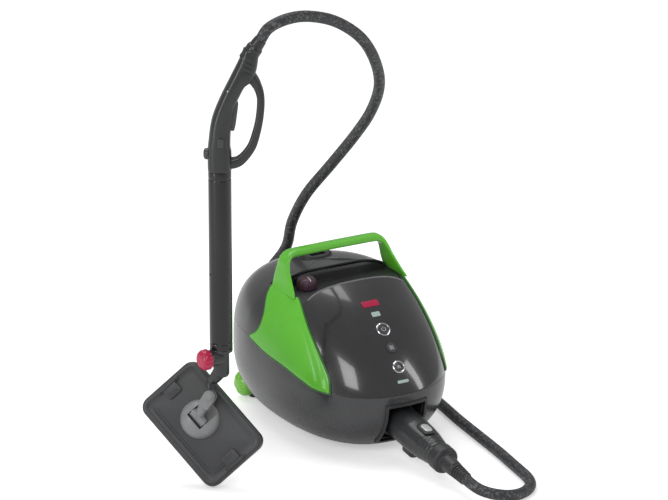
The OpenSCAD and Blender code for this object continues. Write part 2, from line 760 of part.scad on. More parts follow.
// A point s along the plug's axis, and one s along the swivel's axis.
function plug_out(s) =
    [plug_at.x, plug_at.y - s * cos(plug_slope), plug_at.z - s * sin(plug_slope)];
function swivel_out(s) = let (r = swivel_at.x + s * sin(swivel_tilt))
    [wand_x + r * cos(wand_turn), wand_y + r * sin(wand_turn),
     swivel_at.z + s * cos(swivel_tilt)];

// The hose's own route, from the plug round behind the machine and up to the gun.
hose_route = [
    plug_out(sleeve_end + gap), plug_out(sleeve_end + 15), [10, -424, 22], [22, -438, 18],
    [41, -447, 14], [61, -448, 11],
    [81, -441, 9], [99, -429, 9], [111, -412, 9], [118, -391, 9], [122, -366, 9],
    [127, -330, 9], [134, -280, 9], [142, -205, 9], [150, -130, 9], [160, -60, 9],
    [168, 10, 9], [172, 80, 9], [168, 150, 9], [151, 208, 9], [118, 248, 9],
    [76, 270, 9], [35, 278, 13], [-3, 274, 28], [-27, 264, 56], [-35, 258, 94],
    [-25, 245, 140], [-4, 221, 186], [11, 192, 232], [4, 159, 288], [5, 113, 350],
    [16, 54, 415], [25, -9, 483], [25, -61, 540], [13, -106, 598], [-17, -141, 654],
    [-57, -166, 703], [-110, -181, 741], [-165, -192, 761], [-208, -200, 765],
    swivel_out(swivel_l + 22), swivel_out(swivel_l + gap),
];
hose_sides = 10;

function unit(v) = v / norm(v);
function tangent(p, i) = unit(p[min(i + 1, len(p) - 1)] - p[max(i - 1, 0)]);
function carried(p, i, n) = i >= len(p) ? []
    : let (t = tangent(p, i)) let (m = unit(n - (n * t) * t)) concat([m], carried(p, i + 1, m));

// A round tube through points p; each ring's frame is carried on from the one before.
module tube_along(p, r, sides) {
    n = carried(p, 0, [1, 0, 0.1]);
    points = [for (i = [0:len(p) - 1])
        let (b = cross(tangent(p, i), n[i]))
        for (k = [0:sides - 1])
            let (a = 360 * k / sides) p[i] + r * (cos(a) * n[i] + sin(a) * b)];
    walls = [for (i = [0:len(p) - 2], k = [0:sides - 1])
        let (j = (k + 1) % sides)
        [i * sides + k, (i + 1) * sides + k, (i + 1) * sides + j, i * sides + j]];
    first = [for (k = [0:sides - 1]) k];
    last = [for (k = [sides - 1:-1:0]) (len(p) - 1) * sides + k];
    polyhedron(points, concat(walls, [first, last]), convexity = 8);
}

module steam_hose() color("#232425") at_machine() tube_along(hose_route, hose_d / 2, hose_sides);

// ---------- steam gun and tube ----------

socket_top = 560;     // top of the tube's neck inside the gun
neck_tube_r = 15;
gun_back = [[38, 724], [31, 706], [16, 675], [2, 646], [-9, 619], [-14, 599], [-17, 575],
    [-18.5, 558], [-18.5, 526]];
gun_front = [[18.5, 526], [18.5, 556], [17, 566], [18, 591], [21, 608], [23, 627], [31, 645],
    [40, 662], [52, 672], [58, 690], [61, 710]];
guard_out = [[4, 526.4], [18, 526.4], [31, 533], [43, 545], [54, 561], [62, 583], [67, 608], [70, 632],
    [69, 649], [65, 668], [57, 681], [50, 690], [36, 690], [4, 600]];
guard_in = [[14, 560], [20, 555], [31, 551.5], [40, 560], [47, 573], [53, 596], [57, 616],
    [58, 640], [56, 652], [51, 659], [45, 662], [38, 664], [26, 645], [18, 620], [14, 590]];
gun_hollow = [[34, 712], [26, 694], [12, 664], [-2, 634], [-10, 608], [-13, 586], [-14.5, 566],
    [14.5, 566], [13, 572], [14, 592], [17, 608], [19, 628], [27, 647], [37, 665], [48, 678],
    [55, 706]];
gun_wall = 2.5;
gun_screws = [[14, 658], [-8, 590], [30, 680]];
trigger_at = [20, 636];
trigger_half = 5.5;
lock_at = [2, 576];
lock_travel = 4;

// A plate in the gun's plane with an outline of [x, z] points, y0 to y1 across.
module gun_plate(outline, y0, y1)
    translate([0, y1, 0]) rotate([90, 0, 0]) linear_extrude(height = y1 - y0) polygon(outline);

module gun_half(y0, y1) {
    difference() {
        union() {
            difference() {
                gun_plate(concat(gun_back, gun_front), y0, y1);
                gun_plate(gun_hollow, y0 < 0 ? y0 + gun_wall : -1, y0 < 0 ? 1 : y1 - gun_wall);
            }
            difference() {
                gun_plate(guard_out, max(y0, -guard_t), min(y1, guard_t));
                gun_plate(guard_in, -20, 20);
                gun_plate(gun_hollow, -20, 20);
            }
            for (p = gun_screws) translate([p.x, 0, p.y])
                y_rod(y0 < 0 ? y0 + 1 : gap / 2, y0 < 0 ? -gap / 2 : y1 - 1, 4);
        }
        translate([0, 0, 500]) cylinder(r = neck_tube_r + gap, h = socket_top - 500 + gap);
        translate([0, 0, socket_top]) cylinder(r = pipe_r + 1, h = 10);
        translate([-40, 0, 553]) x_rod(0, 30, 9 + slack);
        gun_plate([[4, 586], [34, 586], [34, 630], [26, 646], [12, 646], [4, 630]],
            -trigger_half - slack, trigger_half + slack);
        translate([trigger_at.x, 0, trigger_at.y]) y_rod(-12, 12, 2 + fit);
        for (p = gun_screws) translate([p.x, 0, p.y]) y_rod(-20, 20, screw_r + 0.1);
        at_swivel_local() {
            cylinder(r = 13 + slack, h = 40, center = true);
            translate([8, -3 - slack, -6 - slack]) cube([12, 6 + 2 * slack, 40]);
        }
        if (y0 < 0) translate([lock_at.x - 2.5, -20, lock_at.y - 6.5])
            cube([5, 8, 13 + lock_travel]);
    }
}

module at_swivel_local() translate(swivel_at) rotate([0, swivel_tilt, 0]) children();

module gun_shell_left() color("#2c2d2f") at_wand() gun_half(-gun_t, -gap / 2);
module gun_shell_right() color("#2c2d2f") at_wand() gun_half(gap / 2, gun_t);

module gun_trigger() color("#17181a") at_wand() {
    gun_plate([[15, 592], [24, 590], [26.5, 606], [28, 620], [29.5, 634], [25, 641], [16, 641],
        [13, 634], [14, 610]], -trigger_half, trigger_half);
    translate([trigger_at.x, 0, trigger_at.y]) y_rod(-11.5, 11.5, 2);
}

module gun_switch() color("#8c2b24") at_wand() {
    translate([-4.5, -5, 598]) cube([10, 10, 15]);
    translate([-5.5, -gun_t + gun_wall + gap, 602]) cube([5, 2 * (gun_t - gun_wall - gap), 7]);
}

module gun_lock() color("#515356") at_wand() {
    translate([lock_at.x, -gun_t - gap, lock_at.y]) rotate([90, 0, 0])
        rounded_slab(9, 14, 2.6, 3);
    translate([lock_at.x - 2, -gun_t - gap, lock_at.y - 6]) cube([4, 4, 12]);
}

module release_button() color("#3a3b3e") at_wand() translate([0, 0, 553])
    rotate([0, -90, 0]) rotate_extrude() polygon([
        [0, 17.4], [9, 17.4], [9, 21.5], [7.5, 23.8], [4, 25], [0, 25]]);

module hose_swivel() color("#1d1e1f") at_swivel() {
    rotate_extrude() polygon([
        [0, -14], [13, -14], [13, -2], [13, 9], [12, 12], [11, 12], [9.8, swivel_l], [0, swivel_l]]);
    translate([10, -3, -6]) cube([6, 6, 12]);
}

tube_pin_z = 357;
module extension_tube() color("#1c1d1e") at_wand() difference() {
    rotate_extrude() polygon([
        [tube_r - tube_wall, tube_low], [tube_r, tube_low], [tube_r, tube_high - gap],
        [neck_tube_r, tube_high - gap], [neck_tube_r, socket_top - 0.5],
        [neck_tube_r - tube_wall, socket_top - 0.5], [neck_tube_r - tube_wall, tube_high - 4],
        [tube_r - tube_wall, tube_high - 8]]);
    translate([0, 0, tube_pin_z]) rotate([0, 0, 25]) x_rod(-40, 0, 3);
}

// ---------- brush ----------

connector_r = 12.5;
spigot_fit = 0.2;
dispenser_turn = 35;
dispenser_r = 13.5;
dispenser_z = tube_low - gap - dispenser_r - 0.3;
cap_r = 16.5;
module at_dispenser() at_wand() translate([0, 0, dispenser_z])
    rotate([0, 0, dispenser_turn]) rotate([0, -90, 0]) children();

swing_pin = 3;
tilt_pin = 3;
module brush_connector() color("#131314") {
    at_wand() {
        translate([0, 0, 188]) cylinder(r = connector_r, h = tube_low - 188 - gap);
        translate([0, 0, tube_low - gap - 5]) cylinder(r = tube_r, h = 5);
        translate([0, 0, tube_low - gap - 1])
            cylinder(r = tube_r - tube_wall - spigot_fit, h = 30);
    }
    at_dispenser() cylinder(r = dispenser_r, h = 24);
    hull() {
        at_wand() translate([-2, 0, 191]) sphere(r = 11, $fn = 32);
        at_brush() translate(swing_at) rotate([0, 0, 134]) translate([23, 0, 0])
            sphere(r = 6.5, $fn = 32);
    }
    at_brush() translate(swing_at) difference() {
        union() {
            rotate([0, 0, 134]) translate([0, -8, -6]) cube([23, 16, 12]);
            translate([0, 0, -6]) cylinder(r = 9, h = 12);
        }
        translate([0, 0, -20]) cylinder(r = swing_pin + fit, h = 40);
    }
}

module dispenser_cap() color("#b3123f") at_dispenser() difference() {
    translate([0, 0, 24 + gap]) rotate_extrude() polygon([
        [0, 0], [cap_r, 0], [cap_r, 9], [cap_r - 2, 13], [cap_r - 6, 15.5], [0, 16.5]]);
    for (a = [0:45:315]) rotate([0, 0, a]) translate([cap_r + 1.5, 0, 24])
        cylinder(r = 2.6, h = 30, $fn = 24);
}

to_tilt = [-16, 24, 25];    // where the neck's arch starts behind the fork
fork_turn = -72;
fork_half = 11;
cheek_t = 4.7;

module brush_neck() color("#3b3c3f") at_brush() difference() {
    union() {
        translate(swing_at) {
            for (low = [-fork_half, fork_half - cheek_t]) translate([0, 0, low])
                rotate([0, 0, fork_turn]) linear_extrude(height = cheek_t) {
                    circle(r = 9.5);
                    translate([0, -8]) square([20, 16]);
                }
            rotate([0, 0, fork_turn]) translate([11, -9, -fork_half - 0.4])
                cube([9.6, 18, 2 * fork_half + 0.8]);
            translate([0, 0, fork_half - 1]) cylinder(r = 6.5, h = 5);
            translate([0, 0, 1 - fork_half]) cylinder(r = swing_pin, h = 2 * fork_half - 2);
        }
        hull() {
            translate(to_tilt) sphere(r = 7.5, $fn = 32);
            translate(tilt_at) sphere(r = 6.5, $fn = 32);
        }
        translate(tilt_at) x_rod(-14, 14, 7.5);
    }
    translate(tilt_at) x_rod(-30, 30, tilt_pin + fit);
}

dome_r = 31;
dome_h = 22;
dome_at = [-8, 3];
clip_x = 81;
clip_z = 3;
clip_pin = 1.5;
module brush_shell() color("#4a4b4d") at_brush() {
    difference() {
        union() {
            translate([0, 0, -brush_h]) rounded_slab(brush_l, brush_w, brush_h, brush_corner);
            translate([dome_at.x, dome_at.y, -1]) rotate_extrude() polygon(concat(
                [[0, 0]], [for (a = [0:10:90]) [dome_r * cos(a), 1 + dome_h * sin(a)]]));
        }
        translate([0, 0, -brush_h - 1])
            rounded_slab(brush_l - 2 * wall, brush_w - 2 * wall, brush_h - 2, brush_corner - wall);
        translate([tilt_at.x - 18, tilt_at.y - 10, 1.5]) cube([33, 80, 40]);
    }
    translate(tilt_at) x_rod(-20, 20, tilt_pin);
    for (side = [-1, 1]) translate([side * clip_x, 0, clip_z]) {
        y_rod(-19, 19, clip_pin);
        for (y = [-1, 1]) translate([-2.5, y * 18 - 1.5, -clip_z - 1]) cube([5, 3, clip_z + 3.5]);
    }
}

module brush_sole() color("#1a1b1c") at_brush()
    translate([0, 0, -brush_h]) rounded_slab(brush_l - 2 * wall - 2 * gap,
        brush_w - 2 * wall - 2 * gap, 3, brush_corner - wall - gap);

module brush_bristles() color("#0f0f10") at_brush() translate([0, 0, -brush_h - bristle_l]) {
    for (side = [-1, 1]) {
        translate([side * (brush_l / 2 - 14), 0, 0])
            translate([-4, -brush_w / 2 + 20, 0]) cube([8, brush_w - 40, bristle_l]);
        translate([0, side * (brush_w / 2 - 12), 0])
            translate([-brush_l / 2 + 24, -4, 0]) cube([brush_l - 48, 8, bristle_l]);
    }
}

module cloth_clip(side) color("#333437") at_brush() translate([side * clip_x, 0, clip_z])
    difference() {
        union() {
            y_rod(-16, 16, 2.6);
            translate([side > 0 ? -20 : 0, -13, -2.2]) cube([20, 26, 3]);
        }
        y_rod(-20, 20, clip_pin + fit);
    }

module cloth_clip_left() cloth_clip(-1);
module cloth_clip_right() cloth_clip(1);

module screws() color("#77797c") {
    at_machine() for (p = post_at) translate([p.x, p.y, body_clear - 2.6]) {
        cylinder(r = 3.4, h = 2.4);
        cylinder(r = screw_r, h = 14);
    }
    at_wand() for (p = gun_screws) translate([p.x, 0, p.y]) {
        y_rod(-gun_t + 3, gun_t + 0.2, screw_r);
        y_rod(gun_t + 0.2, gun_t + 1.8, 3.2);
    }
}

// ---------- drawing ----------

base_shell();
upper_shell();
front_panel();
side_panel_left();
side_panel_right();
carry_handle();
deck_tray();
chassis();
boiler_lower();
boiler_upper();
boiler_bolts();
heating_element();
water_tank();
pump_body();
pump_plunger();
steam_valves();
safety_valve();
boiler_sensors();
steam_pipes();
control_board();
hose_socket();
socket_frame();
cord_gland();
screws();
panel_rings();
panel_lenses();
badge_plate();
rear_axle();
tyre_left();
hub_left();
tyre_right();
hub_right();
caster_fork();
caster_wheel();
filler_plug();
filler_cap();
steam_knob();
power_button();
steam_button();
boost_button();
plug_housing();
plug_latch();
hose_sleeve();
steam_hose();
gun_shell_left();
gun_shell_right();
gun_trigger();
gun_switch();
gun_lock();
hose_swivel();
release_button();
extension_tube();
brush_connector();
dispenser_cap();
brush_neck();
brush_shell();
brush_sole();
brush_bristles();
cloth_clip_left();
cloth_clip_right();
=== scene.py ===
"""Canister steam cleaner with a steam gun, an extension tube and a floor brush.

Lengths inside the classes are millimetres in the frame of the sub-assembly; a Place turns
them into the shared frame in metres. Every new piece is a lattice of points worked out with
numpy and closed at its ends.
"""
import logging
import math
from dataclasses import dataclass, field
from enum import Enum
from typing import Callable, Sequence

import bmesh
import bpy
import numpy as np
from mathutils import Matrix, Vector


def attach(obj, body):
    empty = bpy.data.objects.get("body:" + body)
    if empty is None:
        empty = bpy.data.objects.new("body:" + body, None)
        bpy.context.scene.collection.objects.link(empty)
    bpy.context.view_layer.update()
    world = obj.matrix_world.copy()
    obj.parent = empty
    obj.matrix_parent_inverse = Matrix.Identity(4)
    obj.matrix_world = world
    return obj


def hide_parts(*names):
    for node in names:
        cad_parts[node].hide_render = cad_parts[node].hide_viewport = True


LOG = logging.getLogger("steam_cleaner")
Array = np.ndarray
MM = 0.001
TAU = 2 * math.pi
MERGE = 2e-6            # vertices closer than this many metres are one
FLAT = 1e-7             # edges shorter than this many metres are removed
LONG_EDGE = 0.012       # longest edge of a CAD face on the skin, in metres
SKIN_DEEPEST = -3.4     # faces from this far inside the skin, in millimetres,
SKIN_HIGHEST = 0.6      # up to this far outside it, count as lying on it
SPLIT_LEAN = 26.0       # most degrees between such a face and the skin, to be split
SKIN_LEAN = 30.0        # and to take the skin's place and normals
FLOOR_REACH = 30        # half the floor's side, in metres
FAR_CLIP = 60           # metres that the camera sees


class Part(Enum):
    """The bodies that the pieces ride on."""

    CLEANER = "cleaner"
    WHEEL_LEFT = "wheel_left"
    WHEEL_RIGHT = "wheel_right"
    KNOB = "knob"
    POWER = "power"
    STEAM = "steam"
    BOOST = "boost"
    LATCH = "latch"
    TRIGGER = "trigger"
    LOCK = "lock"
    RELEASE = "release"
    SCENT_CAP = "scent_cap"
    NECK = "neck"
    BRUSH = "brush"
    CLIP_LEFT = "clip_left"
    CLIP_RIGHT = "clip_right"


# ---------- places ----------


def turn(axis: str, degrees: float) -> Array:
    """Rotation matrix about a named axis.

    Args:
        axis: "x", "y" or "z".
        degrees: angle by the right-hand rule.

    Returns:
        A 3 by 3 matrix that turns column vectors.
    """
    c, s = math.cos(math.radians(degrees)), math.sin(math.radians(degrees))
    if axis == "x":
        return np.array([[1, 0, 0], [0, c, -s], [0, s, c]])
    if axis == "y":
        return np.array([[c, 0, s], [0, 1, 0], [-s, 0, c]])
    return np.array([[c, -s, 0], [s, c, 0], [0, 0, 1]])


@dataclass(frozen=True)
class Place:
    """A frame inside the shared one: where its origin lies and how it is turned."""

    origin: tuple[float, float, float] = (0.0, 0.0, 0.0)
    matrix: tuple = ((1, 0, 0), (0, 1, 0), (0, 0, 1))

    def out(self, points: Array) -> Array:
        """Millimetre points of this frame as metre points of the shared frame."""
        return (np.asarray(points, float) @ np.array(self.matrix).T + self.origin) * MM

    def inner(self, shift: Sequence[float], matrix: Array | None = None) -> "Place":
        """A frame that is shifted, then turned, inside this one.

        Args:
            shift: origin of the new frame, in this frame.
            matrix: its rotation in this frame, none where it keeps this one's.

        Returns:
            The new frame.
        """
        mine = np.array(self.matrix)
        origin = mine @ np.array(shift, float) + self.origin
        turned = mine if matrix is None else mine @ matrix
        return Place(tuple(origin), tuple(map(tuple, turned)))


MACHINE = Place((127.2, 1.1, 0.0))
WAND = MACHINE.inner((-305, -161, 0), turn("z", -30))
PLUG = MACHINE.inner((4, -196, 57), turn("x", 98))
SWIVEL = WAND.inner((50, 0, 716), turn("y", 34))
DISPENSER = WAND.inner((0, 0, 218.9), turn("z", 35) @ turn("y", -90))
SWING_AT = (-22.0, 42.0, 26.0)
TILT_AT = (-10.0, 5.0, 12.0)
BRUSH_TURN = turn("z", 30) @ turn("z", -38) @ turn("x", 70) @ turn("z", -46)
BRUSH = WAND.inner((-18.6, 0, 150.4), BRUSH_TURN).inner([-v for v in SWING_AT])


@dataclass(frozen=True)
class Skin:
    """The free-form skin of the body: stacked slices whose reach depends on the height."""

    length: float = 428
    width: float = 290
    waist: float = 110
    top: float = 258
    clear: float = 11
    fullness: float = 2.3

    @staticmethod
    def rounded(t: Array, n: float) -> Array:
        """Superellipse quarter: how far is left when t of the way has been used."""
        return np.maximum(0, 1 - np.maximum(t, 0) ** n) ** (1 / n)

    def low(self, z: Array, factor: float) -> Array:
        """The part of the reach that is left below the waist at height z."""
        return self.rounded((self.waist - z) / (factor * (self.waist - self.clear)), 2.5)

    def nose(self, z: Array) -> Array:
        """Reach towards the nose at height z."""
        high = self.rounded((z - self.waist) / (self.top - self.waist + 14), 1.4)
        return self.length / 2 * np.where(z < self.waist, self.low(z, 1.293), high)

    def tail(self, z: Array) -> Array:
        """Reach towards the tail at height z."""
        high = self.rounded((z - self.waist) / (self.top - self.waist + 2), 2.6)
        return self.length / 2 * np.where(z < self.waist, self.low(z, 1.293), high)

    def side(self, z: Array, rear: Array) -> Array:
        """Reach sideways at height z, blended between the front and the rear half."""
        rise = 1.52 * (self.top - self.waist)
        front = self.rounded((z - self.waist) / rise, 1.6)
        back = self.rounded((z - self.waist) / (self.top - self.waist + 2), 3)
        high = (1 - rear) * front + rear * back
        return self.width / 2 * np.where(z < self.waist, self.low(z, 1.192), high)

    def level(self, p: Array, inset: float = 0.0) -> Array:
        """1 on the skin and less inside it: the slice's superellipse sum.

        Args:
            p: points in the machine's frame, the last axis holding x, y and z.
            inset: how far inside the skin the wanted copy of it lies, below 0 outside.

        Returns:
            One number for each point. An inset copy is the skin shrunk about its middle
            by the inset on each side.
        """
        z = p[..., 2] - self.waist
        tall = np.where(z < 0, self.waist - self.clear, self.top - self.waist)
        z = self.waist + z / (1 - inset / tall)
        x = p[..., 0] / (1 - 2 * inset / self.width)
        y = p[..., 1] / (1 - 2 * inset / self.length)
        reach = np.where(y < 0, self.nose(z), self.tail(z)) + 1e-6
        v = np.clip(np.abs(y) / reach, 0, 2)
        up = np.where(y < 0, v ** (self.fullness / 2), -(v ** (self.fullness / 2)))
        u = np.clip((0.1 - up) / 0.35, 0, 1)
        across = self.side(z, u * u * (3 - 2 * u)) + 1e-6
        return (np.abs(x) / across) ** self.fullness + v**self.fullness

    def slope(self, p: Array, inset: float = 0.0) -> Array:
        """Gradient of level() at points p, by central differences."""
        steps = np.eye(3) * 0.4
        return np.stack([self.level(p + d, inset) - self.level(p - d, inset) for d in steps],
                        axis=-1) / 0.8

    def normal(self, p: Array, inset: float = 0.0) -> Array:
        """Outward unit normals at points p."""
        slope = self.slope(p, inset)
        return slope / (np.linalg.norm(slope, axis=-1, keepdims=True) + 1e-12)

    def away(self, p: Array, inset: float = 0.0) -> Array:
        """Distance of points p outside the skin: (level - 1) / length of its slope."""
        size = np.linalg.norm(self.slope(p, inset), axis=-1) + 1e-9
        return (self.level(p, inset) - 1) / size

    def flank(self, y: Array, z: Array, side: int) -> Array:
        """Points of the skin over side-view places (y, z), on one side.

        Args:
            y: distances behind the middle.
            z: heights.
            side: -1 for the machine's left as drawn, 1 for its right.

        Returns:
            Points with a last axis of three.
        """
        reach = np.where(y < 0, self.nose(z), self.tail(z))
        v = np.clip(np.abs(y) / reach, 0, 0.9995)
        up = np.where(y < 0, 1, -1) * v ** (self.fullness / 2)
        u = np.clip((0.1 - up) / 0.35, 0, 1)
        across = self.side(z, u * u * (3 - 2 * u))
        x = across * (1 - v**self.fullness) ** (1 / self.fullness)
        return np.stack([side * x, y, z], axis=-1)


SKIN = Skin()


def face_place(z: float) -> Place:
    """A frame on the front panel's middle line at height z, its z axis pointing out."""
    tilt = math.degrees(math.atan2(float(SKIN.nose(z - 4) - SKIN.nose(z + 4)), 8))
    return MACHINE.inner((0, -float(SKIN.nose(z)), z), turn("x", 90 - tilt))


# ---------- shapes ----------


def soften(profile: Sequence[Sequence[float]], radius: float, steps: int = 4) -> Array:
    """Rounds the corners of a polyline with quadratic curves.

    Args:
        profile: the polyline's points, open.
        radius: how far from a corner its curve starts, at most half of a side.
        steps: pieces in each curve.

    Returns:
        The rounded polyline. A corner c between a and b becomes
        (1-t)^2 a + 2t(1-t) c + t^2 b.
    """
    p = np.asarray(profile, float)
    out = [p[:1]]
    t = np.linspace(0, 1, steps + 1)[:, None]
    for i in range(1, len(p) - 1):
        before, after = p[i - 1] - p[i], p[i + 1] - p[i]
        la, lb = np.linalg.norm(before), np.linalg.norm(after)
        a = p[i] + before / la * min(radius, la * 0.49)
        b = p[i] + after / lb * min(radius, lb * 0.49)
        out.append((1 - t) ** 2 * a + 2 * t * (1 - t) * p[i] + t**2 * b)
    out.append(p[-1:])
    return np.concatenate(out)


def smooth_path(points: Sequence[Sequence[float]], per_span: int) -> Array:
    """Catmull-Rom curve through points, with per_span pieces in each span."""
    p = np.asarray(points, float)
    q = np.concatenate([2 * p[:1] - p[1:2], p, 2 * p[-1:] - p[-2:-1]])
    a, b, c, d = q[:-3, None], q[1:-2, None], q[2:-1, None], q[3:, None]
    t = np.linspace(0, 1, per_span, endpoint=False)[None, :, None]
    body = 0.5 * (2 * b + (c - a) * t + (2 * a - 5 * b + 4 * c - d) * t**2
                  + (3 * b - a - 3 * c + d) * t**3)
    return np.concatenate([body.reshape(-1, p.shape[1]), p[-1:]])


def resample(points: Array, count: int) -> Array:
    """The polyline's points again, count of them, evenly spaced along it."""
    p = np.asarray(points, float)
    along = np.concatenate([[0], np.cumsum(np.linalg.norm(np.diff(p, axis=0), axis=1))])
    at = np.linspace(0, along[-1], count)
    return np.stack([np.interp(at, along, p[:, k]) for k in range(p.shape[1])], axis=-1)


def oval(count: int, n: float = 2.0) -> Array:
    """Unit superellipse with exponent n: count points (x, y) going round once."""
    a = np.arange(count) / count * TAU
    c, s = np.cos(a), np.sin(a)
    return np.stack([np.sign(c) * np.abs(c) ** (2 / n), np.sign(s) * np.abs(s) ** (2 / n)], -1)


def revolve(profile: Array, sides: int = 64, shape: Callable[[Array], Array] | None = None
            ) -> Array:
    """Profile of (radius, height) points turned about z.

    Args:
        profile: rows of radius and height.
        sides: points around.
        shape: gives a factor on the radius for each angle, where the turn isn't round.

    Returns:
        A lattice of rows by sides points.
    """
    a = np.arange(sides) / sides * TAU
    r = profile[:, :1] * (np.ones(sides) if shape is None else shape(a))
    z = np.broadcast_to(profile[:, 1:2], r.shape)
    return np.stack([r * np.cos(a), r * np.sin(a), z], axis=-1)


def outline(w: float, l: float, r: float, count: int = 96) -> Array:
    """Rounded rectangle w by l with corner radius r, as count even points."""
    q = np.linspace(0, math.pi / 2, 9)
    arcs = [np.stack([sx * (w / 2 - r) + r * np.cos(q + k * math.pi / 2),
                      sy * (l / 2 - r) + r * np.sin(q + k * math.pi / 2)], -1)
            for k, (sx, sy) in enumerate([(1, 1), (-1, 1), (-1, -1), (1, -1)])]
    loop = np.concatenate(arcs + [arcs[0][:1]])
    return resample(loop, count + 1)[:-1]


def slab(w: float, l: float, low: float, high: float, corner: float, bevel: float,
         count: int = 96) -> Array:
    """Rounded slab with rolled edges: outlines pulled in by bevel(1 - sin a) near each face."""
    a = np.linspace(0, math.pi / 2, 6)
    inset = bevel * (1 - np.sin(a))
    heights = np.concatenate([low + bevel * (1 - np.cos(a)), high - bevel * (1 - np.cos(a[::-1]))])
    insets = np.concatenate([inset, inset[::-1]])
    rows = [np.column_stack([outline(w - 2 * i, l - 2 * i, max(corner - i, 0.4), count),
                             np.full(count, z)]) for i, z in zip(insets, heights)]
    return np.array(rows)


def directions(path: Array) -> Array:
    """Unit tangents of a path, one for each of its points."""
    tangent = np.gradient(path, axis=0)
    return tangent / np.linalg.norm(tangent, axis=1, keepdims=True)


def polar(lattice: Array) -> tuple[Array, Array]:
    """Angle of each column and distance from the axis of each point of a turned lattice."""
    sides = lattice.shape[1]
    return np.arange(sides) / sides * TAU, np.hypot(lattice[..., 0], lattice[..., 1])


def read(items: bpy.types.bpy_prop_collection, key: str, width: int = 1,
         kind: type = float) -> Array:
    """One attribute of every item of a mesh collection, as rows of width numbers."""
    out = np.zeros(len(items) * width, kind)
    items.foreach_get(key, out)
    return out.reshape(-1, width) if width > 1 else out


def corners(mesh: bpy.types.Mesh) -> tuple[Array, Array, Array]:
    """Each corner's vertex, each corner's face, and each face's first corner."""
    start = read(mesh.polygons, "loop_start", kind=int)
    owner = np.repeat(np.arange(len(start)), read(mesh.polygons, "loop_total", kind=int))
    return read(mesh.loops, "vertex_index", kind=int), owner, start


def sweep(path: Array, half: Array, across: Array, n: float = 2.4, sides: int = 32) -> Array:
    """Superellipse section carried along a flat path.

    Args:
        path: rows of points.
        half: for each row the half width in the path's plane and across it.
        across: unit normal of the path's plane.
        n: exponent of the section.
        sides: points around.

    Returns:
        A lattice: each row is its path point plus the section in the frame of the plane's
        normal and the in-plane normal to the path.
    """
    tangent = directions(path)
    inward = np.cross(across, tangent)
    section = oval(sides, n)
    return (path[:, None] + section[None, :, :1] * half[:, None, :1] * inward[:, None]
            + section[None, :, 1:] * half[:, None, 1:] * np.asarray(across)[None, None])


def tube(path: Array, radius: float, sides: int = 20) -> Array:
    """Round tube along any path; each row's frame comes from a fixed leaning vector."""
    tangent = directions(path)
    lean = np.array([0.31, 0.22, 0.925])
    lean = np.where(np.abs(tangent @ lean)[:, None] > 0.93, np.array([0.9, -0.42, 0.1]), lean)
    side = np.cross(tangent, lean)
    side /= np.linalg.norm(side, axis=1, keepdims=True)
    up = np.cross(side, tangent)
    ring = oval(sides)
    return path[:, None] + radius * (ring[None, :, :1] * side[:, None]
                                     + ring[None, :, 1:] * up[:, None])


def bead(path: Array, normals: Array, radius: float, sides: int = 12) -> Array:
    """Round bead along a path on a surface: its section stands on the surface's normal."""
    tangent = directions(path)
    side = np.cross(tangent, normals)
    side /= np.linalg.norm(side, axis=1, keepdims=True)
    ring = oval(sides) * radius
    return path[:, None] + ring[None, :, :1] * side[:, None] + ring[None, :, 1:] * normals[:, None]


@dataclass
class Shell:
    """Closed lattices gathered into one mesh."""

    place: Place = Place()
    verts: list = field(default_factory=list)
    faces: list = field(default_factory=list)
    count: int = 0

    def add(self, points: Array, place: Place | None = None) -> "Shell":
        """Adds a lattice that wraps round its rows, with a face over each end.

        Args:
            points: rows by columns by three, in millimetres.
            place: the frame they are in, none for the shell's own.

        Returns:
            The shell, so that calls can be chained.
        """
        rows, cols = points.shape[:2]
        idx = np.arange(rows * cols).reshape(rows, cols) + self.count
        after = np.roll(idx, -1, axis=1)
        quads = np.stack([idx[:-1], after[:-1], after[1:], idx[1:]], axis=-1).reshape(-1, 4)
        self.faces += quads.tolist() + [idx[0][::-1].tolist(), idx[-1].tolist()]
        self.verts.append((place or self.place).out(points.reshape(-1, 3)))
        self.count += rows * cols
        return self

    def sheet(self, front: Array, back: Array) -> "Shell":
        """Adds a panel: a front lattice and a back one, joined all round."""
        loop = np.concatenate([front, back[:, ::-1]], axis=1)
        rows, cols = loop.shape[:2]
        self.add(loop)
        half = cols // 2
        start = self.count - rows * cols
        del self.faces[-2:]
        for row in (0, rows - 1):
            at = start + row * cols
            strip = [[at + k, at + k + 1, at + cols - 2 - k, at + cols - 1 - k]
                     for k in range(half - 1)]
            self.faces += strip
        return self

    def piece(self, name: str, body: Part, finish: "Finish", replaces: Sequence[str] = (),
              sharp: float = 38.0) -> bpy.types.Object:
        """Makes the mesh and its object, gives it its finish and its body.

        Args:
            name: the object's name.
            body: the body that it rides on.
            finish: what it is made of.
            replaces: CAD nodes that it stands for.
            sharp: edges sharper than this many degrees stay hard.

        Returns:
            The new object.
        """
        mesh = bpy.data.meshes.new(name)
        mesh.from_pydata(np.concatenate(self.verts).tolist(), [], self.faces)
        bm = bmesh.new()
        bm.from_mesh(mesh)
        bmesh.ops.remove_doubles(bm, verts=bm.verts, dist=MERGE)
        bmesh.ops.dissolve_degenerate(bm, edges=bm.edges, dist=FLAT)
        bmesh.ops.recalc_face_normals(bm, faces=bm.faces)
        bm.to_mesh(mesh)
        bm.free()
        return dress(bpy.data.objects.new(name, mesh), body, finish, replaces, sharp)


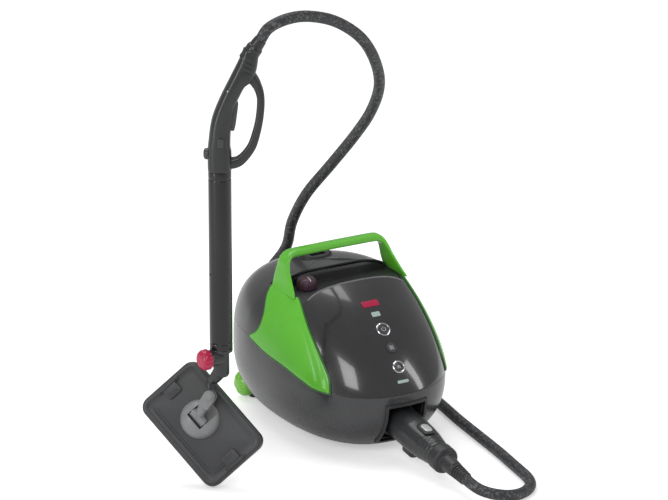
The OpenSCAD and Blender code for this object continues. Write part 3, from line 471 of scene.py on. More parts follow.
def dress(obj: bpy.types.Object, body: Part, finish: "Finish", replaces: Sequence[str] = (),
          sharp: float = 38.0) -> bpy.types.Object:
    """Links an object, shades it, gives it its finish and ties it to its body and CAD nodes."""
    if obj.name not in bpy.context.scene.collection.objects:
        bpy.context.scene.collection.objects.link(obj)
    mesh = obj.data
    mesh.materials.clear()
    mesh.materials.append(finish.material())
    mesh.polygons.foreach_set("use_smooth", np.ones(len(mesh.polygons), bool))
    mesh.set_sharp_from_angle(angle=math.radians(sharp))
    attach(obj, body.value)
    if replaces:
        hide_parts(*replaces)
    LOG.info("piece %s: %d faces on %s", obj.name, len(mesh.polygons), body.value)
    return obj


def smooth_copy(node: str, body: str, finish: "Finish", inset: float | None = None,
                sharp: float = 32.0) -> bpy.types.Object:
    """A merged, smoothly shaded copy of a CAD node that stands for it.

    Args:
        node: the CAD node.
        body: the body that it rides on.
        finish: what it is made of.
        inset: faces that lie this far inside the body's skin are settled on its true curve
            and take its normals; none where the node has no such faces.
        sharp: edges sharper than this many degrees stay hard.

    Returns:
        The new object.
    """
    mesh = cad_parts[node].data.copy()
    mesh.name = node + "_shown"
    bm = bmesh.new()
    bm.from_mesh(mesh)
    bmesh.ops.remove_doubles(bm, verts=bm.verts, dist=MERGE)
    if inset is not None:
        bm.normal_update()
        long = [e for e in bm.edges if e.calc_length() > LONG_EDGE
                and all(rests_on_skin(f, inset) for f in e.link_faces)]
        bmesh.ops.subdivide_edges(bm, edges=long, cuts=3, use_grid_fill=True)
        bmesh.ops.triangulate(bm, faces=[f for f in bm.faces if len(f.verts) > 4])
    bm.to_mesh(mesh)
    bm.free()
    if inset is not None:
        settle_on_skin(mesh, inset)
    obj = dress(bpy.data.objects.new(node + "_shown", mesh), Part(body), finish, (node,), sharp)
    if inset is not None:
        lend_skin_normals(mesh, inset)
    return obj


def rests_on_skin(face: bmesh.types.BMFace, inset: float) -> bool:
    """Whether a face lies on the skin's copy: its middle's distance and normal tell."""
    middle = np.array(face.calc_center_median()) / MM - np.array(MACHINE.origin)
    if not SKIN_DEEPEST < SKIN.away(middle, inset) < SKIN_HIGHEST:
        return False
    facing = float(SKIN.normal(middle, inset) @ np.array(face.normal))
    return facing > math.cos(math.radians(SPLIT_LEAN))


def gather(mesh: bpy.types.Mesh) -> tuple[Array, Array, Array, Array, Array]:
    """Reads a mesh of the body as whole arrays.

    Args:
        mesh: the mesh.

    Returns:
        Points in the machine's millimetres, face normals, each corner's vertex, each
        corner's face, and each face's first corner.
    """
    corner, owner, start = corners(mesh)
    points = read(mesh.vertices, "co", 3) / MM - np.array(MACHINE.origin)
    return points, read(mesh.polygons, "normal", 3), corner, owner, start


def skin_corners(mesh: bpy.types.Mesh, inset: float) -> tuple[Array, Array, Array, Array]:
    """Points, corners, their faces' normals, and which corners lie on the skin."""
    points, face_n, corner, owner, start = gather(mesh)
    away = SKIN.away(points, inset)
    lowest = np.minimum.reduceat(away[corner], start)
    highest = np.maximum.reduceat(away[corner], start)
    facing = (SKIN.normal(points, inset)[corner] * face_n[owner]).sum(1)
    on = (facing > math.cos(math.radians(SKIN_LEAN))) & (lowest[owner] > SKIN_DEEPEST)
    return points, corner, face_n[owner], on & (highest[owner] < SKIN_HIGHEST)


def settle_on_skin(mesh: bpy.types.Mesh, inset: float) -> None:
    """Moves vertices of faces on the skin along its normal until they lie on it."""
    points, corner, _, on = skin_corners(mesh, inset)
    chosen = np.zeros(len(points), bool)
    chosen[corner[on]] = True
    away = np.clip(SKIN.away(points, inset), SKIN_DEEPEST, SKIN_HIGHEST)
    away = np.where(chosen, away, 0)
    moved = points - away[:, None] * SKIN.normal(points, inset)
    mesh.vertices.foreach_set("co", MACHINE.out(moved).ravel())
    mesh.update()


def lend_skin_normals(mesh: bpy.types.Mesh, inset: float) -> None:
    """Gives corners of faces on the skin the skin's normal, and others the face's own."""
    points, corner, own, on = skin_corners(mesh, inset)
    given = np.where(on[:, None], SKIN.normal(points, inset)[corner], own)
    mesh.normals_split_custom_set(given.tolist())


# ---------- finishes ----------


class Nodes:
    """Short calls for building shader nodes in one tree."""

    def __init__(self, tree: bpy.types.NodeTree) -> None:
        """Keeps the tree that the nodes go into."""
        self.tree = tree

    def add(self, kind: str, values: dict | None = None, **options: object) -> bpy.types.Node:
        """Adds a node, sets its options and its unlinked sockets."""
        node = self.tree.nodes.new(kind)
        for key, value in options.items():
            setattr(node, key, value)
        for key, value in (values or {}).items():
            node.inputs[key].default_value = value
        return node

    def link(self, source: bpy.types.NodeSocket, target: bpy.types.NodeSocket) -> None:
        """Joins two sockets."""
        self.tree.links.new(source, target)

    def math(self, kind: str, a: object, b: object = 0.0, clamp: bool = False
             ) -> bpy.types.NodeSocket:
        """A Math node; a and b are sockets or numbers. Returns its result."""
        node = self.add("ShaderNodeMath", operation=kind, use_clamp=clamp)
        for k, value in enumerate((a, b)):
            if isinstance(value, bpy.types.NodeSocket):
                self.link(value, node.inputs[k])
            else:
                node.inputs[k].default_value = value
        return node.outputs[0]

    def mix(self, factor: object, a: object, b: object) -> bpy.types.NodeSocket:
        """A colour Mix node; each argument is a socket or a value. Returns its result."""
        node = self.add("ShaderNodeMix", data_type="RGBA")
        for socket, value in ((node.inputs[0], factor), (node.inputs[6], a), (node.inputs[7], b)):
            if isinstance(value, bpy.types.NodeSocket):
                self.link(value, socket)
            else:
                socket.default_value = value
        return node.outputs[2]


def group(name: str, inputs: dict, outputs: Sequence[str],
          build: Callable[[Nodes, bpy.types.Node, bpy.types.Node], None]) -> bpy.types.NodeTree:
    """A shader node group, built the first time that it is asked for.

    Args:
        name: the group's name.
        inputs: number inputs and their defaults.
        outputs: names of its number outputs.
        build: fills the group, given its nodes, its input node and its output node.

    Returns:
        The group's tree.
    """
    if name in bpy.data.node_groups:
        return bpy.data.node_groups[name]
    tree = bpy.data.node_groups.new(name, "ShaderNodeTree")
    for key, value in inputs.items():
        socket = tree.interface.new_socket(key, in_out="INPUT", socket_type="NodeSocketFloat")
        socket.default_value = value
    for key in outputs:
        tree.interface.new_socket(key, in_out="OUTPUT", socket_type="NodeSocketFloat")
    nodes = Nodes(tree)
    build(nodes, nodes.add("NodeGroupInput"), nodes.add("NodeGroupOutput"))
    return tree


def mould_grain() -> bpy.types.NodeTree:
    """Fine spark-eroded grain of a moulding and slow changes of its tone."""

    def build(n: Nodes, given: bpy.types.Node, out: bpy.types.Node) -> None:
        """Noise at grain scale for the height, and at hand scale for the tone."""
        place = n.add("ShaderNodeTexCoord").outputs["Object"]
        fine = n.add("ShaderNodeTexNoise", {"Detail": 4.0, "Roughness": 0.6})
        n.link(place, fine.inputs["Vector"])
        n.link(given.outputs["Grain"], fine.inputs["Scale"])
        broad = n.add("ShaderNodeTexNoise", {"Scale": 9.0, "Detail": 3.0, "Roughness": 0.55})
        n.link(place, broad.inputs["Vector"])
        n.link(fine.outputs[0], out.inputs["Height"])
        n.link(broad.outputs[0], out.inputs["Tone"])

    return group("mould grain", {"Grain": 900.0}, ("Height", "Tone"), build)


def settled_dust() -> bpy.types.NodeTree:
    """Thin dust on faces that look up, broken up by noise."""

    def build(n: Nodes, given: bpy.types.Node, out: bpy.types.Node) -> None:
        """Upward part of the normal times a ramp of noise, times the amount."""
        up = n.add("ShaderNodeSeparateXYZ")
        n.link(n.add("ShaderNodeNewGeometry").outputs["Normal"], up.inputs[0])
        noise = n.add("ShaderNodeTexNoise", {"Scale": 34.0, "Detail": 6.0, "Roughness": 0.7})
        n.link(n.add("ShaderNodeTexCoord").outputs["Object"], noise.inputs["Vector"])
        lean = n.math("POWER", n.math("MAXIMUM", up.outputs[2], 0.0), 2.0)
        patchy = n.math("MULTIPLY", n.math("SUBTRACT", noise.outputs[0], 0.38), 2.6, True)
        mask = n.math("MULTIPLY", n.math("MULTIPLY", lean, patchy), given.outputs["Amount"])
        n.link(mask, out.inputs["Mask"])

    return group("settled dust", {"Amount": 0.2}, ("Mask",), build)


def fine_scuffs() -> bpy.types.NodeTree:
    """Faint rubbed streaks: thin crests of stretched noise."""

    def build(n: Nodes, given: bpy.types.Node, out: bpy.types.Node) -> None:
        """Distance of stretched noise from its middle value, kept where it is small."""
        spread = n.add("ShaderNodeMapping", vector_type="POINT")
        spread.inputs["Scale"].default_value = (60.0, 14.0, 9.0)
        spread.inputs["Rotation"].default_value = (0.3, 0.5, 0.8)
        n.link(n.add("ShaderNodeTexCoord").outputs["Object"], spread.inputs["Vector"])
        noise = n.add("ShaderNodeTexNoise", {"Scale": 3.2, "Detail": 3.0, "Roughness": 0.5})
        n.link(spread.outputs[0], noise.inputs["Vector"])
        off = n.math("ABSOLUTE", n.math("SUBTRACT", noise.outputs[0], 0.5))
        crest = n.math("SUBTRACT", 1.0, n.math("MULTIPLY", off, 26.0), True)
        n.link(n.math("MULTIPLY", crest, given.outputs["Amount"]), out.inputs["Mask"])

    return group("fine scuffs", {"Amount": 0.3}, ("Mask",), build)


class Surface(Enum):
    """What gives a finish its own pattern, on top of grain, dust and scuffs."""

    PLAIN = "plain"
    BRAID = "braid"
    TURNED = "turned"
    RUBBER = "rubber"


@dataclass(frozen=True)
class Finish:
    """One moulded, cast or turned finish.

    Base colour and shadow colour are mixed by slow noise; grain drives the bump; dust
    lightens and dulls faces that look up; scuffs dull thin streaks.
    """

    name: str
    slot: str
    base: tuple[float, float, float]
    shade: tuple[float, float, float]
    rough: float = 0.3
    metallic: float = 0.0
    coat: float = 0.0
    grain: float = 900.0
    bump: float = 0.04
    dust: float = 0.1
    scuffs: float = 0.25
    surface: Surface = Surface.PLAIN
    specular: float = 0.5

    def material(self) -> bpy.types.Material:
        """The finish as a material, built the first time that it is asked for."""
        known = bpy.data.materials.get(self.name)
        if known:
            return known
        made = bpy.data.materials.new(self.name)
        made.use_nodes = True
        made.diffuse_color = (*self.base, 1)
        tree = made.node_tree
        tree.nodes.clear()
        n = Nodes(tree)
        shader = n.add("ShaderNodeBsdfPrincipled", {
            "Metallic": self.metallic, "Coat Weight": self.coat, "Coat Roughness": 0.06,
            "Specular IOR Level": self.specular})
        n.link(shader.outputs[0], n.add("ShaderNodeOutputMaterial").inputs[0])
        grain = n.add("ShaderNodeGroup", node_tree=mould_grain())
        grain.inputs["Grain"].default_value = self.grain
        dust = n.add("ShaderNodeGroup", node_tree=settled_dust())
        dust.inputs["Amount"].default_value = self.dust
        scuffs = n.add("ShaderNodeGroup", node_tree=fine_scuffs())
        scuffs.inputs["Amount"].default_value = self.scuffs
        tone = n.math("MULTIPLY", n.math("SUBTRACT", grain.outputs["Tone"], 0.35), 2.2, True)
        colour = n.mix(tone, (*self.shade, 1), (*self.base, 1))
        height = grain.outputs["Height"]
        rough = n.math("ADD", self.rough, n.math("MULTIPLY", scuffs.outputs[0], 0.16))
        if self.surface is Surface.BRAID:
            colour, height = self.braid(n, colour, height)
        elif self.surface is Surface.TURNED:
            height = self.turned(n, height)
        elif self.surface is Surface.RUBBER:
            colour, height = self.rubber(n, colour, height)
        pale = tuple(0.5 * c + 0.16 for c in self.base)
        colour = n.mix(dust.outputs[0], colour, (*pale, 1))
        rough = n.math("ADD", rough, n.math("MULTIPLY", dust.outputs[0], 0.35), True)
        n.link(colour, shader.inputs["Base Color"])
        n.link(rough, shader.inputs["Roughness"])
        bump = n.add("ShaderNodeBump", {"Strength": 1.0, "Distance": self.bump * MM})
        n.link(height, bump.inputs["Height"])
        n.link(bump.outputs[0], shader.inputs["Normal"])
        return made

    def braid(self, n: Nodes, colour: bpy.types.NodeSocket, height: bpy.types.NodeSocket
              ) -> tuple[bpy.types.NodeSocket, bpy.types.NodeSocket]:
        """Two crossing sets of threads from the piece's UV map, with pale flecks.

        Args:
            n: the material's nodes.
            colour: colour under the threads.
            height: grain height.

        Returns:
            The new colour and height.
        """
        uv = n.add("ShaderNodeSeparateXYZ")
        n.link(n.add("ShaderNodeUVMap").outputs[0], uv.inputs[0])
        along, round_ = uv.outputs[0], uv.outputs[1]
        waves = []
        for way in (1.0, -1.0):
            lean = n.math("ADD", n.math("MULTIPLY", along, 210.0),
                          n.math("MULTIPLY", round_, 12.0 * way))
            waves.append(n.math("ABSOLUTE", n.math("SINE", n.math("MULTIPLY", lean, TAU / 2))))
        threads = n.math("MAXIMUM", waves[0], waves[1])
        both = n.math("MULTIPLY", waves[0], waves[1])
        fleck = n.add("ShaderNodeTexNoise", {"Scale": 210.0, "Detail": 2.0})
        n.link(n.add("ShaderNodeTexCoord").outputs["Object"], fleck.inputs["Vector"])
        spot = n.math("MULTIPLY", n.math("SUBTRACT", fleck.outputs[0], 0.52), 9.0, True)
        lit = n.mix(n.math("MULTIPLY", both, 0.5), colour, (0.075, 0.078, 0.082, 1))
        lit = n.mix(n.math("MULTIPLY", spot, 0.7), lit, (0.13, 0.133, 0.137, 1))
        return lit, n.math("ADD", threads, n.math("MULTIPLY", height, 0.3))

    def turned(self, n: Nodes, height: bpy.types.NodeSocket) -> bpy.types.NodeSocket:
        """Fine lines of turned or drawn metal added to the height."""
        wave = n.add("ShaderNodeTexWave", {"Scale": 320.0, "Distortion": 1.5, "Detail": 2.0},
                     bands_direction="Z")
        n.link(n.add("ShaderNodeTexCoord").outputs["Object"], wave.inputs["Vector"])
        return n.math("ADD", height, n.math("MULTIPLY", wave.outputs[1], 0.5))

    def rubber(self, n: Nodes, colour: bpy.types.NodeSocket, height: bpy.types.NodeSocket
               ) -> tuple[bpy.types.NodeSocket, bpy.types.NodeSocket]:
        """Matt rubber: pores from a cell pattern, and a grey bloom over them."""
        cells = n.add("ShaderNodeTexVoronoi", {"Scale": 700.0})
        n.link(n.add("ShaderNodeTexCoord").outputs["Object"], cells.inputs["Vector"])
        bloom = n.math("MULTIPLY", cells.outputs["Distance"], 0.35)
        return n.mix(bloom, colour, (0.06, 0.06, 0.062, 1)), n.math(
            "ADD", height, n.math("MULTIPLY", cells.outputs["Distance"], 0.8))


BODY_DARK = Finish("body grey", "body_dark", (0.040, 0.041, 0.044), (0.028, 0.029, 0.031),
                   rough=0.26, coat=0.35, bump=0.004, scuffs=0.12)
BODY_UPPER = Finish("hump grey", "body_upper", (0.048, 0.049, 0.052), (0.034, 0.035, 0.037),
                    rough=0.28, coat=0.3, bump=0.006, scuffs=0.12, dust=0.14)
PANEL_GLOSS = Finish("panel gloss", "panel_gloss", (0.030, 0.030, 0.032),
                     (0.019, 0.019, 0.021), rough=0.2, coat=0.8, bump=0.005, dust=0.04)
# Pale grey of the deck rim bead: a painted highlight along the front panel's top edge, not the
# plastic's own colour.
RIM_HIGHLIGHT = Finish("rim painted highlight", "body_dark", (0.17, 0.172, 0.176), (0.13, 0.132, 0.136),
                  rough=0.25, coat=0.4, bump=0.004)
TRAY_DARK = Finish("deck grey", "tray_dark", (0.035, 0.035, 0.038), (0.024, 0.024, 0.026),
                   rough=0.42, bump=0.035, dust=0.16)
LIME = Finish("lime gloss", "lime", (0.140, 0.560, 0.038), (0.105, 0.470, 0.028), rough=0.26,
              coat=0.25, bump=0.003, dust=0.05, scuffs=0.06)
LIME_EDGE = Finish("lime edge", "lime", (0.030, 0.150, 0.014), (0.018, 0.095, 0.010),
                   rough=0.3, coat=0.3, bump=0.008, dust=0.04)
HUB_LIME = Finish("hub lime", "hub_lime", (0.20, 0.56, 0.04), (0.14, 0.45, 0.03), rough=0.26,
                  coat=0.4, bump=0.01, dust=0.06)
INNER = Finish("inner plastic", "inner_plastic", (0.05, 0.05, 0.052), (0.035, 0.035, 0.037),
               rough=0.5, bump=0.08)
TYRE = Finish("tyre rubber", "tyre", (0.018, 0.018, 0.019), (0.011, 0.011, 0.012), rough=0.72,
              bump=0.15, surface=Surface.RUBBER)
CHROME = Finish("bright ring", "chrome_ring", (0.74, 0.75, 0.76), (0.6, 0.61, 0.62), rough=0.12,
                metallic=1.0, bump=0.006, surface=Surface.TURNED)
SILVER = Finish("silver lacquer", "silver", (0.66, 0.665, 0.67), (0.5, 0.505, 0.51), rough=0.26,
                metallic=0.35, coat=0.4, bump=0.02)
BUTTON = Finish("button grey", "button_dark", (0.065, 0.066, 0.07), (0.045, 0.046, 0.05),
                rough=0.33, bump=0.02)
LENS = Finish("window", "lens", (0.50, 0.60, 0.57), (0.36, 0.47, 0.44), rough=0.08, coat=0.8,
              bump=0.004, dust=0.0)
CRIMSON = Finish("crimson", "crimson", (0.23, 0.005, 0.042), (0.165, 0.003, 0.03), rough=0.22,
                 coat=0.5, bump=0.015)
PLUM = Finish("plum", "plum", (0.13, 0.05, 0.095), (0.085, 0.03, 0.06), rough=0.32, bump=0.04)
HOSE = Finish("braided hose", "hose_rubber", (0.022, 0.023, 0.025), (0.012, 0.012, 0.014),
              rough=0.5, bump=0.35, dust=0.03, surface=Surface.BRAID)
SLEEVE = Finish("sleeve rubber", "hose_rubber", (0.030, 0.031, 0.033), (0.02, 0.02, 0.022),
                rough=0.42, bump=0.08)
GUN = Finish("gun grey", "gun_dark", (0.028, 0.029, 0.031), (0.018, 0.019, 0.020), rough=0.3,
             coat=0.2, bump=0.012, specular=0.45)
TUBE = Finish("tube black", "tube_black", (0.013, 0.013, 0.014), (0.008, 0.008, 0.009),
              rough=0.2, coat=0.2, bump=0.006, dust=0.02, specular=0.4)
BRUSH_GREY = Finish("brush grey", "brush_grey", (0.048, 0.049, 0.052), (0.032, 0.033, 0.035),
                    rough=0.4, bump=0.03, dust=0.12)
NECK_GREY = Finish("neck grey", "brush_grey", (0.25, 0.252, 0.257), (0.19, 0.192, 0.196),
                   rough=0.36, bump=0.02)
BRISTLE = Finish("bristles", "bristle", (0.014, 0.014, 0.015), (0.009, 0.009, 0.01), rough=0.6)
STEEL = Finish("steel", "steel", (0.55, 0.56, 0.57), (0.42, 0.43, 0.44), rough=0.28,
               metallic=1.0, bump=0.02, surface=Surface.TURNED)
CAST = Finish("cast metal", "aluminium_cast", (0.58, 0.59, 0.6), (0.44, 0.45, 0.46), rough=0.45,
              metallic=1.0, bump=0.2, grain=500.0)
BRASS = Finish("brass", "brass", (0.62, 0.44, 0.17), (0.45, 0.31, 0.11), rough=0.3, metallic=1.0,
               surface=Surface.TURNED, bump=0.02)
TANK = Finish("tank plastic", "tank_clear", (0.62, 0.68, 0.7), (0.5, 0.56, 0.58), rough=0.3)
BOARD = Finish("board", "pcb", (0.03, 0.12, 0.05), (0.02, 0.08, 0.035), rough=0.4)
MARK = Finish("printed mark", "lens", (0.62, 0.63, 0.64), (0.55, 0.56, 0.57), rough=0.35,
              bump=0.01, dust=0.0)


# ---------- body ----------


@dataclass
class Body:
    """Shells, side panels, carry handle, deck trims."""

    deck: float = 236
    deck_front: float = 54
    grip: float = 13

    def build(self) -> None:
        """Makes every piece of the body."""
        smooth_copy("base_shell", "cleaner", BODY_DARK, inset=0.0)
        smooth_copy("upper_shell", "cleaner", BODY_UPPER, inset=0.0)
        smooth_copy("front_panel", "cleaner", PANEL_GLOSS, inset=0.0)
        smooth_copy("deck_tray", "cleaner", TRAY_DARK)
        for side, name in ((-1, "side_panel_left"), (1, "side_panel_right")):
            self.cheek(side, name)
        self.handle()
        self.deck_rim()
        self.filler()
        self.liner()

    def cheek(self, side: int, node: str) -> None:
        """One green cheek: a Coons patch in the side view, laid on the skin.

        The patch is bounded by the belt, the brow, the arm's foot and the rear edge; its
        outer face swells from the edge as 1 - (1 - e)^4, with e the distance to the edge.
        """
        belt = smooth_path([[45, 153.6], [-6, 142.6], [-64, 135.6], [-106, 124.6],
                            [-131, 116.6], [-159, 113.8]], 8)
        brow = smooth_path([[-40, 237.6], [-53.6, 228], [-86.6, 200], [-120.6, 170],
                            [-149.6, 138], [-159, 113.8]], 8)
        foot = np.array([[33, 237.6], [-40, 237.6]], float)
        rear = smooth_path([[33, 237.6], [27, 224], [18, 204], [17, 184], [24, 168], [45, 153.6]],
                           8)
        m, k = 60, 40
        s, t = np.linspace(0, 1, m), np.linspace(0, 1, k)
        low, high = resample(belt, m), resample(foot, m)
        back, front = resample(rear[::-1], k), resample(brow[::-1], k)
        u, v = s[None, :, None], t[:, None, None]
        ruled = (1 - v) * low[None] + v * high[None]
        other = (1 - u) * back[:, None] + u * front[:, None]
        corners = ((1 - u) * (1 - v) * low[0] + u * (1 - v) * low[-1]
                   + (1 - u) * v * high[0] + u * v * high[-1])
        flat = ruled + other - corners
        skin = SKIN.flank(flat[..., 0], flat[..., 1], side)
        normal = SKIN.normal(skin)
        edge = np.minimum(np.minimum(s, 1 - s)[None] * 40, np.minimum(t, 1 - t)[:, None] * 26)
        swell = 1 - (1 - np.clip(edge, 0, 1)) ** 4
        crease = 0.5 * np.exp(-((s[None] - 0.9) / 0.02) ** 2) * np.ones((k, 1))
        outer = skin + normal * (1.2 + 1.4 * swell - crease * swell)[..., None]
        inner = skin + normal * 0.45
        Shell(MACHINE).sheet(outer, inner).piece(node.replace("panel", "cheek"), Part.CLEANER,
                                                 LIME, (node,), sharp=50)
        edge = resample(np.concatenate([back[::-1], low[1:], front[1:]]), 220)
        skin = SKIN.flank(edge[:, 0], edge[:, 1], side)
        normal = SKIN.normal(skin)
        Shell(MACHINE).add(bead(skin + normal * 0.7, normal, 1.9)).piece(
            node.replace("side_panel", "cheek_edge"), Part.CLEANER, LIME_EDGE)

    def handle(self) -> None:
        """The arch over the deck: a flat superellipse carried up one arm, across and down.

        The path is the arch's middle line; the section's depth from front to back runs from
        the arm's wide foot to the narrow grip bar, and its middle leans back with it.
        """
        half = [[105.0, 236.9], [102.3, 243], [100.0, 251], [97.3, 262], [94.4, 273],
                [90.8, 283], [84.5, 289.9], [74, 292.4], [40, 292.8], [0, 293.0]]
        left = np.array([[-x, z] for x, z in half])
        path = smooth_path(np.concatenate([left, np.array(half[:-1])[::-1]]), 9)
        path = resample(path, 150)
        z = path[:, 1]
        front = np.interp(z, [237, 244, 256, 270, 283, 291, 293], [-40, -35, -22, -8, 1, 5.6, 8.2])
        rear = np.interp(z, [237, 252, 270, 288, 293], [33, 34.4, 32.6, 29.8, 27.8])
        thick = np.interp(z, [238, 270, 286, 292.6], [2.6, 2.9, 4.4, self.grip / 2 - 0.4])
        spine = np.stack([path[:, 0], (front + rear) / 2, z], axis=-1)
        flat = np.stack([path[:, 0], np.zeros(len(z)), z], axis=-1)
        inward = np.cross([0, 1, 0], directions(flat))
        ring = oval(48, 3.2)
        body = (spine[:, None] + ring[None, :, :1] * (thick[:, None, None] * inward[:, None])
                + ring[None, :, 1:] * ((rear - front) / 2)[:, None, None] * np.array([0, 1, 0]))
        Shell(MACHINE).add(body).piece("handle_arch", Part.CLEANER, LIME, ("carry_handle",))

    def deck_rim(self) -> None:
        """A rounded bead along the front panel's upper edge; its pale grey is a painted highlight
        of that edge.
        """
        a = np.linspace(0.30, math.pi - 0.30, 90)
        reach = (self.deck_front + 1.0) / np.sin(a) ** (2 / SKIN.fullness)
        t = (1 - np.clip(reach / (SKIN.length / 2), 0, 1) ** 1.4) ** (1 / 1.4)
        z = SKIN.waist + (SKIN.top - SKIN.waist + 14) * t
        keep = z > self.deck + 0.5
        y = np.full(keep.sum(), -self.deck_front - 1.0)
        right = SKIN.flank(y, z[keep], 1)
        x = right[:, 0] * np.sign(np.cos(a[keep]))
        path = resample(np.stack([x, y, z[keep] - 0.6], -1), 120)
        # The bead's pale grey finish is a painted highlight of the panel's top edge.
        Shell(MACHINE).add(tube(path, 1.6, 12)).piece("deck_rim", Part.CLEANER, RIM_HIGHLIGHT)

    def liner(self) -> None:
        """Tray round the plug's recess: a U drawn back from the skin into the body."""
        u = resample(soften([[-35.4, 93], [-35.4, 22.6], [35.4, 22.6], [35.4, 93]], 5), 60)
        x, z = u[:, 0], u[:, 1]
        share = (np.abs(x) / SKIN.side(z, np.zeros(60))) ** SKIN.fullness
        mouth = 3.0 - SKIN.nose(z) * (1 - share) ** (1 / SKIN.fullness)
        y = mouth + (-140.0 - mouth) * np.linspace(0, 1, 14)[:, None]
        inner = np.stack([np.broadcast_to(x, y.shape), y, np.broadcast_to(z, y.shape)], -1)
        outer = inner * np.array([1.04, 1, 1]) - np.array([0, 0, 1.4]) * (z < 45)[None, :, None]
        Shell(MACHINE).sheet(inner, outer).piece("recess_liner", Part.CLEANER, TRAY_DARK)

    def filler(self) -> None:
        """A ring let into the hump round the filler cap."""
        profile = soften([[26.0, 248], [28.6, 248], [28.6, 258.9], [26.0, 258.9], [26.0, 248]],
                         0.8)
        Shell(MACHINE.inner((0, 78, 0))).add(revolve(profile, 96)).piece(
            "filler_ring", Part.CLEANER, TRAY_DARK)


@dataclass
class Panel:
    """Buttons, rings, windows, blank plate and generic symbols of the front panel."""

    power_z: float = 199
    steam_z: float = 176
    boost_z: float = 151

    def build(self) -> None:
        """Makes the panel's pieces."""
        self.button("power_cap", self.power_z, 9, Part.POWER, BUTTON, "power_button")
        self.button("steam_cap", self.steam_z, 9, Part.STEAM, BUTTON, "steam_button")
        self.button("boost_cap", self.boost_z, 7.5, Part.BOOST, BUTTON, "boost_button")
        rings = Shell()
        for z, r in ((self.power_z, 9), (self.boost_z, 7.5)):
            profile = soften([[r + 0.5, -1], [r + 3.2, -1], [r + 3.2, 1.0], [r + 1.9, 1.9],
                              [r + 0.5, 1.2], [r + 0.5, -1]], 0.5)
            rings.add(revolve(profile, 72), face_place(z))
        rings.piece("bright_rings", Part.CLEANER, CHROME, ("panel_rings",))
        self.symbols()
        windows = Shell()
        windows.add(slab(15, 9, -0.8, 1.0, 1.8, 0.35, 64), face_place(217))
        windows.add(slab(20, 5, -0.8, 1.0, 1.8, 0.35, 64), face_place(131))
        windows.piece("windows", Part.CLEANER, LENS, ("panel_lenses",))
        Shell(face_place(229)).add(slab(30, 12, -0.8, 1.0, 1.8, 0.3, 64)).piece(
            "blank_plate", Part.CLEANER, CRIMSON, ("badge_plate",))

    def button(self, name: str, z: float, r: float, body: Part, finish: Finish, node: str
               ) -> None:
        """A push button with a dished top and a rolled edge."""
        profile = soften([[0, -14], [2.5, -14], [2.5, -3], [r, -3], [r, 1.5], [r - 1.0, 1.6],
                          [r * 0.5, 1.1], [0, 0.95]], 0.6)
        Shell(face_place(z)).add(revolve(profile, 64)).piece(name, body, finish, (node,))

    def symbols(self) -> None:
        """Raised generic symbols: a bar in an arc, three steam waves, an upward arrow."""
        power = Shell(face_place(self.power_z))
        arc = np.linspace(-0.7, math.pi + 0.7, 40) + math.pi
        ring = np.stack([3.6 * np.cos(arc), 3.6 * np.sin(arc), np.full(40, 1.35)], -1)
        power.add(tube(ring, 0.45, 10))
        bar = np.array([[0, 1.0, 1.4], [0, 4.6, 1.4]])
        power.add(tube(resample(bar, 6), 0.45, 10)).piece("power_symbol", Part.POWER, MARK)
        steam = Shell(face_place(self.steam_z))
        y = np.linspace(-3.6, 3.6, 24)
        for x in (-2.6, 0.0, 2.6):
            wave = np.stack([x + 0.7 * np.sin(y * 1.7), y, np.full(24, 1.3)], -1)
            steam.add(tube(wave, 0.4, 10))
        steam.piece("steam_symbol", Part.STEAM, MARK)
        boost = Shell(face_place(self.boost_z))
        for line in ([[-2.8, -0.6], [0, 2.4], [2.8, -0.6]], [[-2.8, -3.0], [0, 0.0], [2.8, -3.0]]):
            path = np.column_stack([resample(line, 16), np.full(16, 1.3)])
            boost.add(tube(path, 0.45, 10))
        boost.piece("boost_symbol", Part.BOOST, MARK)


@dataclass
class Wheels:
    """Rear tyres with tread and green hubs."""

    tyre_r: float = 27
    tyre_w: float = 22
    axle_y: float = 146
    inner: float = 64
    face: float = 46

    def build(self) -> None:
        """Makes both wheels."""
        for side, body in ((-1, Part.WHEEL_LEFT), (1, Part.WHEEL_RIGHT)):
            place = MACHINE.inner((side * self.inner, self.axle_y, self.tyre_r),
                                  turn("y", 90 * side))
            word = "left" if side < 0 else "right"
            self.tyre(place, word, body)
            self.hub(place, word, body)

    def tyre(self, place: Place, word: str, body: Part) -> None:
        """Tread: the outer radius dips by 0.7 mm in grooves all round and across."""
        w, r = self.tyre_w, self.tyre_r
        profile = soften([[17, 1], [r - 3.5, 0], [r - 1, 1.2], [r, 4], [r, w - 4], [r - 1, w - 1.2],
                          [r - 3.5, w], [17, w - 1], [17, 1]], 1.4, 5)
        lattice = revolve(resample(profile, 90), 180)
        a, radius = polar(lattice)
        across = lattice[..., 2] - w / 2
        groove = 0.7 * (np.cos(a[None] * 36 + 0.5 * across) > 0.72) * (np.abs(across) > 2.2)
        groove = groove * (radius > r - 1.2)
        lattice[..., :2] *= (1 - groove / radius)[..., None]
        Shell(place).add(lattice).piece(f"tread_{word}", body, TYRE, (f"tyre_{word}",), 28)

    def hub(self, place: Place, word: str, body: Part) -> None:
        """Domed hub with five shallow scoops: z falls by 2 cos^4 between two radii."""
        f = self.face
        profile = soften([[4.05, 0], [17, 1], [17, 22.4], [21.5, 22.4], [21.5, f - 14],
                          [19.4, f - 8], [13.5, f - 2.2], [6, f - 0.4], [0, f]], 2.2, 5)
        lattice = revolve(resample(profile, 110), 120)
        a, radius = polar(lattice)
        band = np.exp(-((radius - 12.5) / 3.4) ** 2) * (lattice[..., 2] > f - 12)
        lattice[..., 2] -= 2.2 * band * np.clip(np.cos(a * 2.5)[None] ** 2, 0, 1) ** 2
        Shell(place).add(lattice).piece(f"hub_dome_{word}", body, HUB_LIME, (f"hub_{word}",))


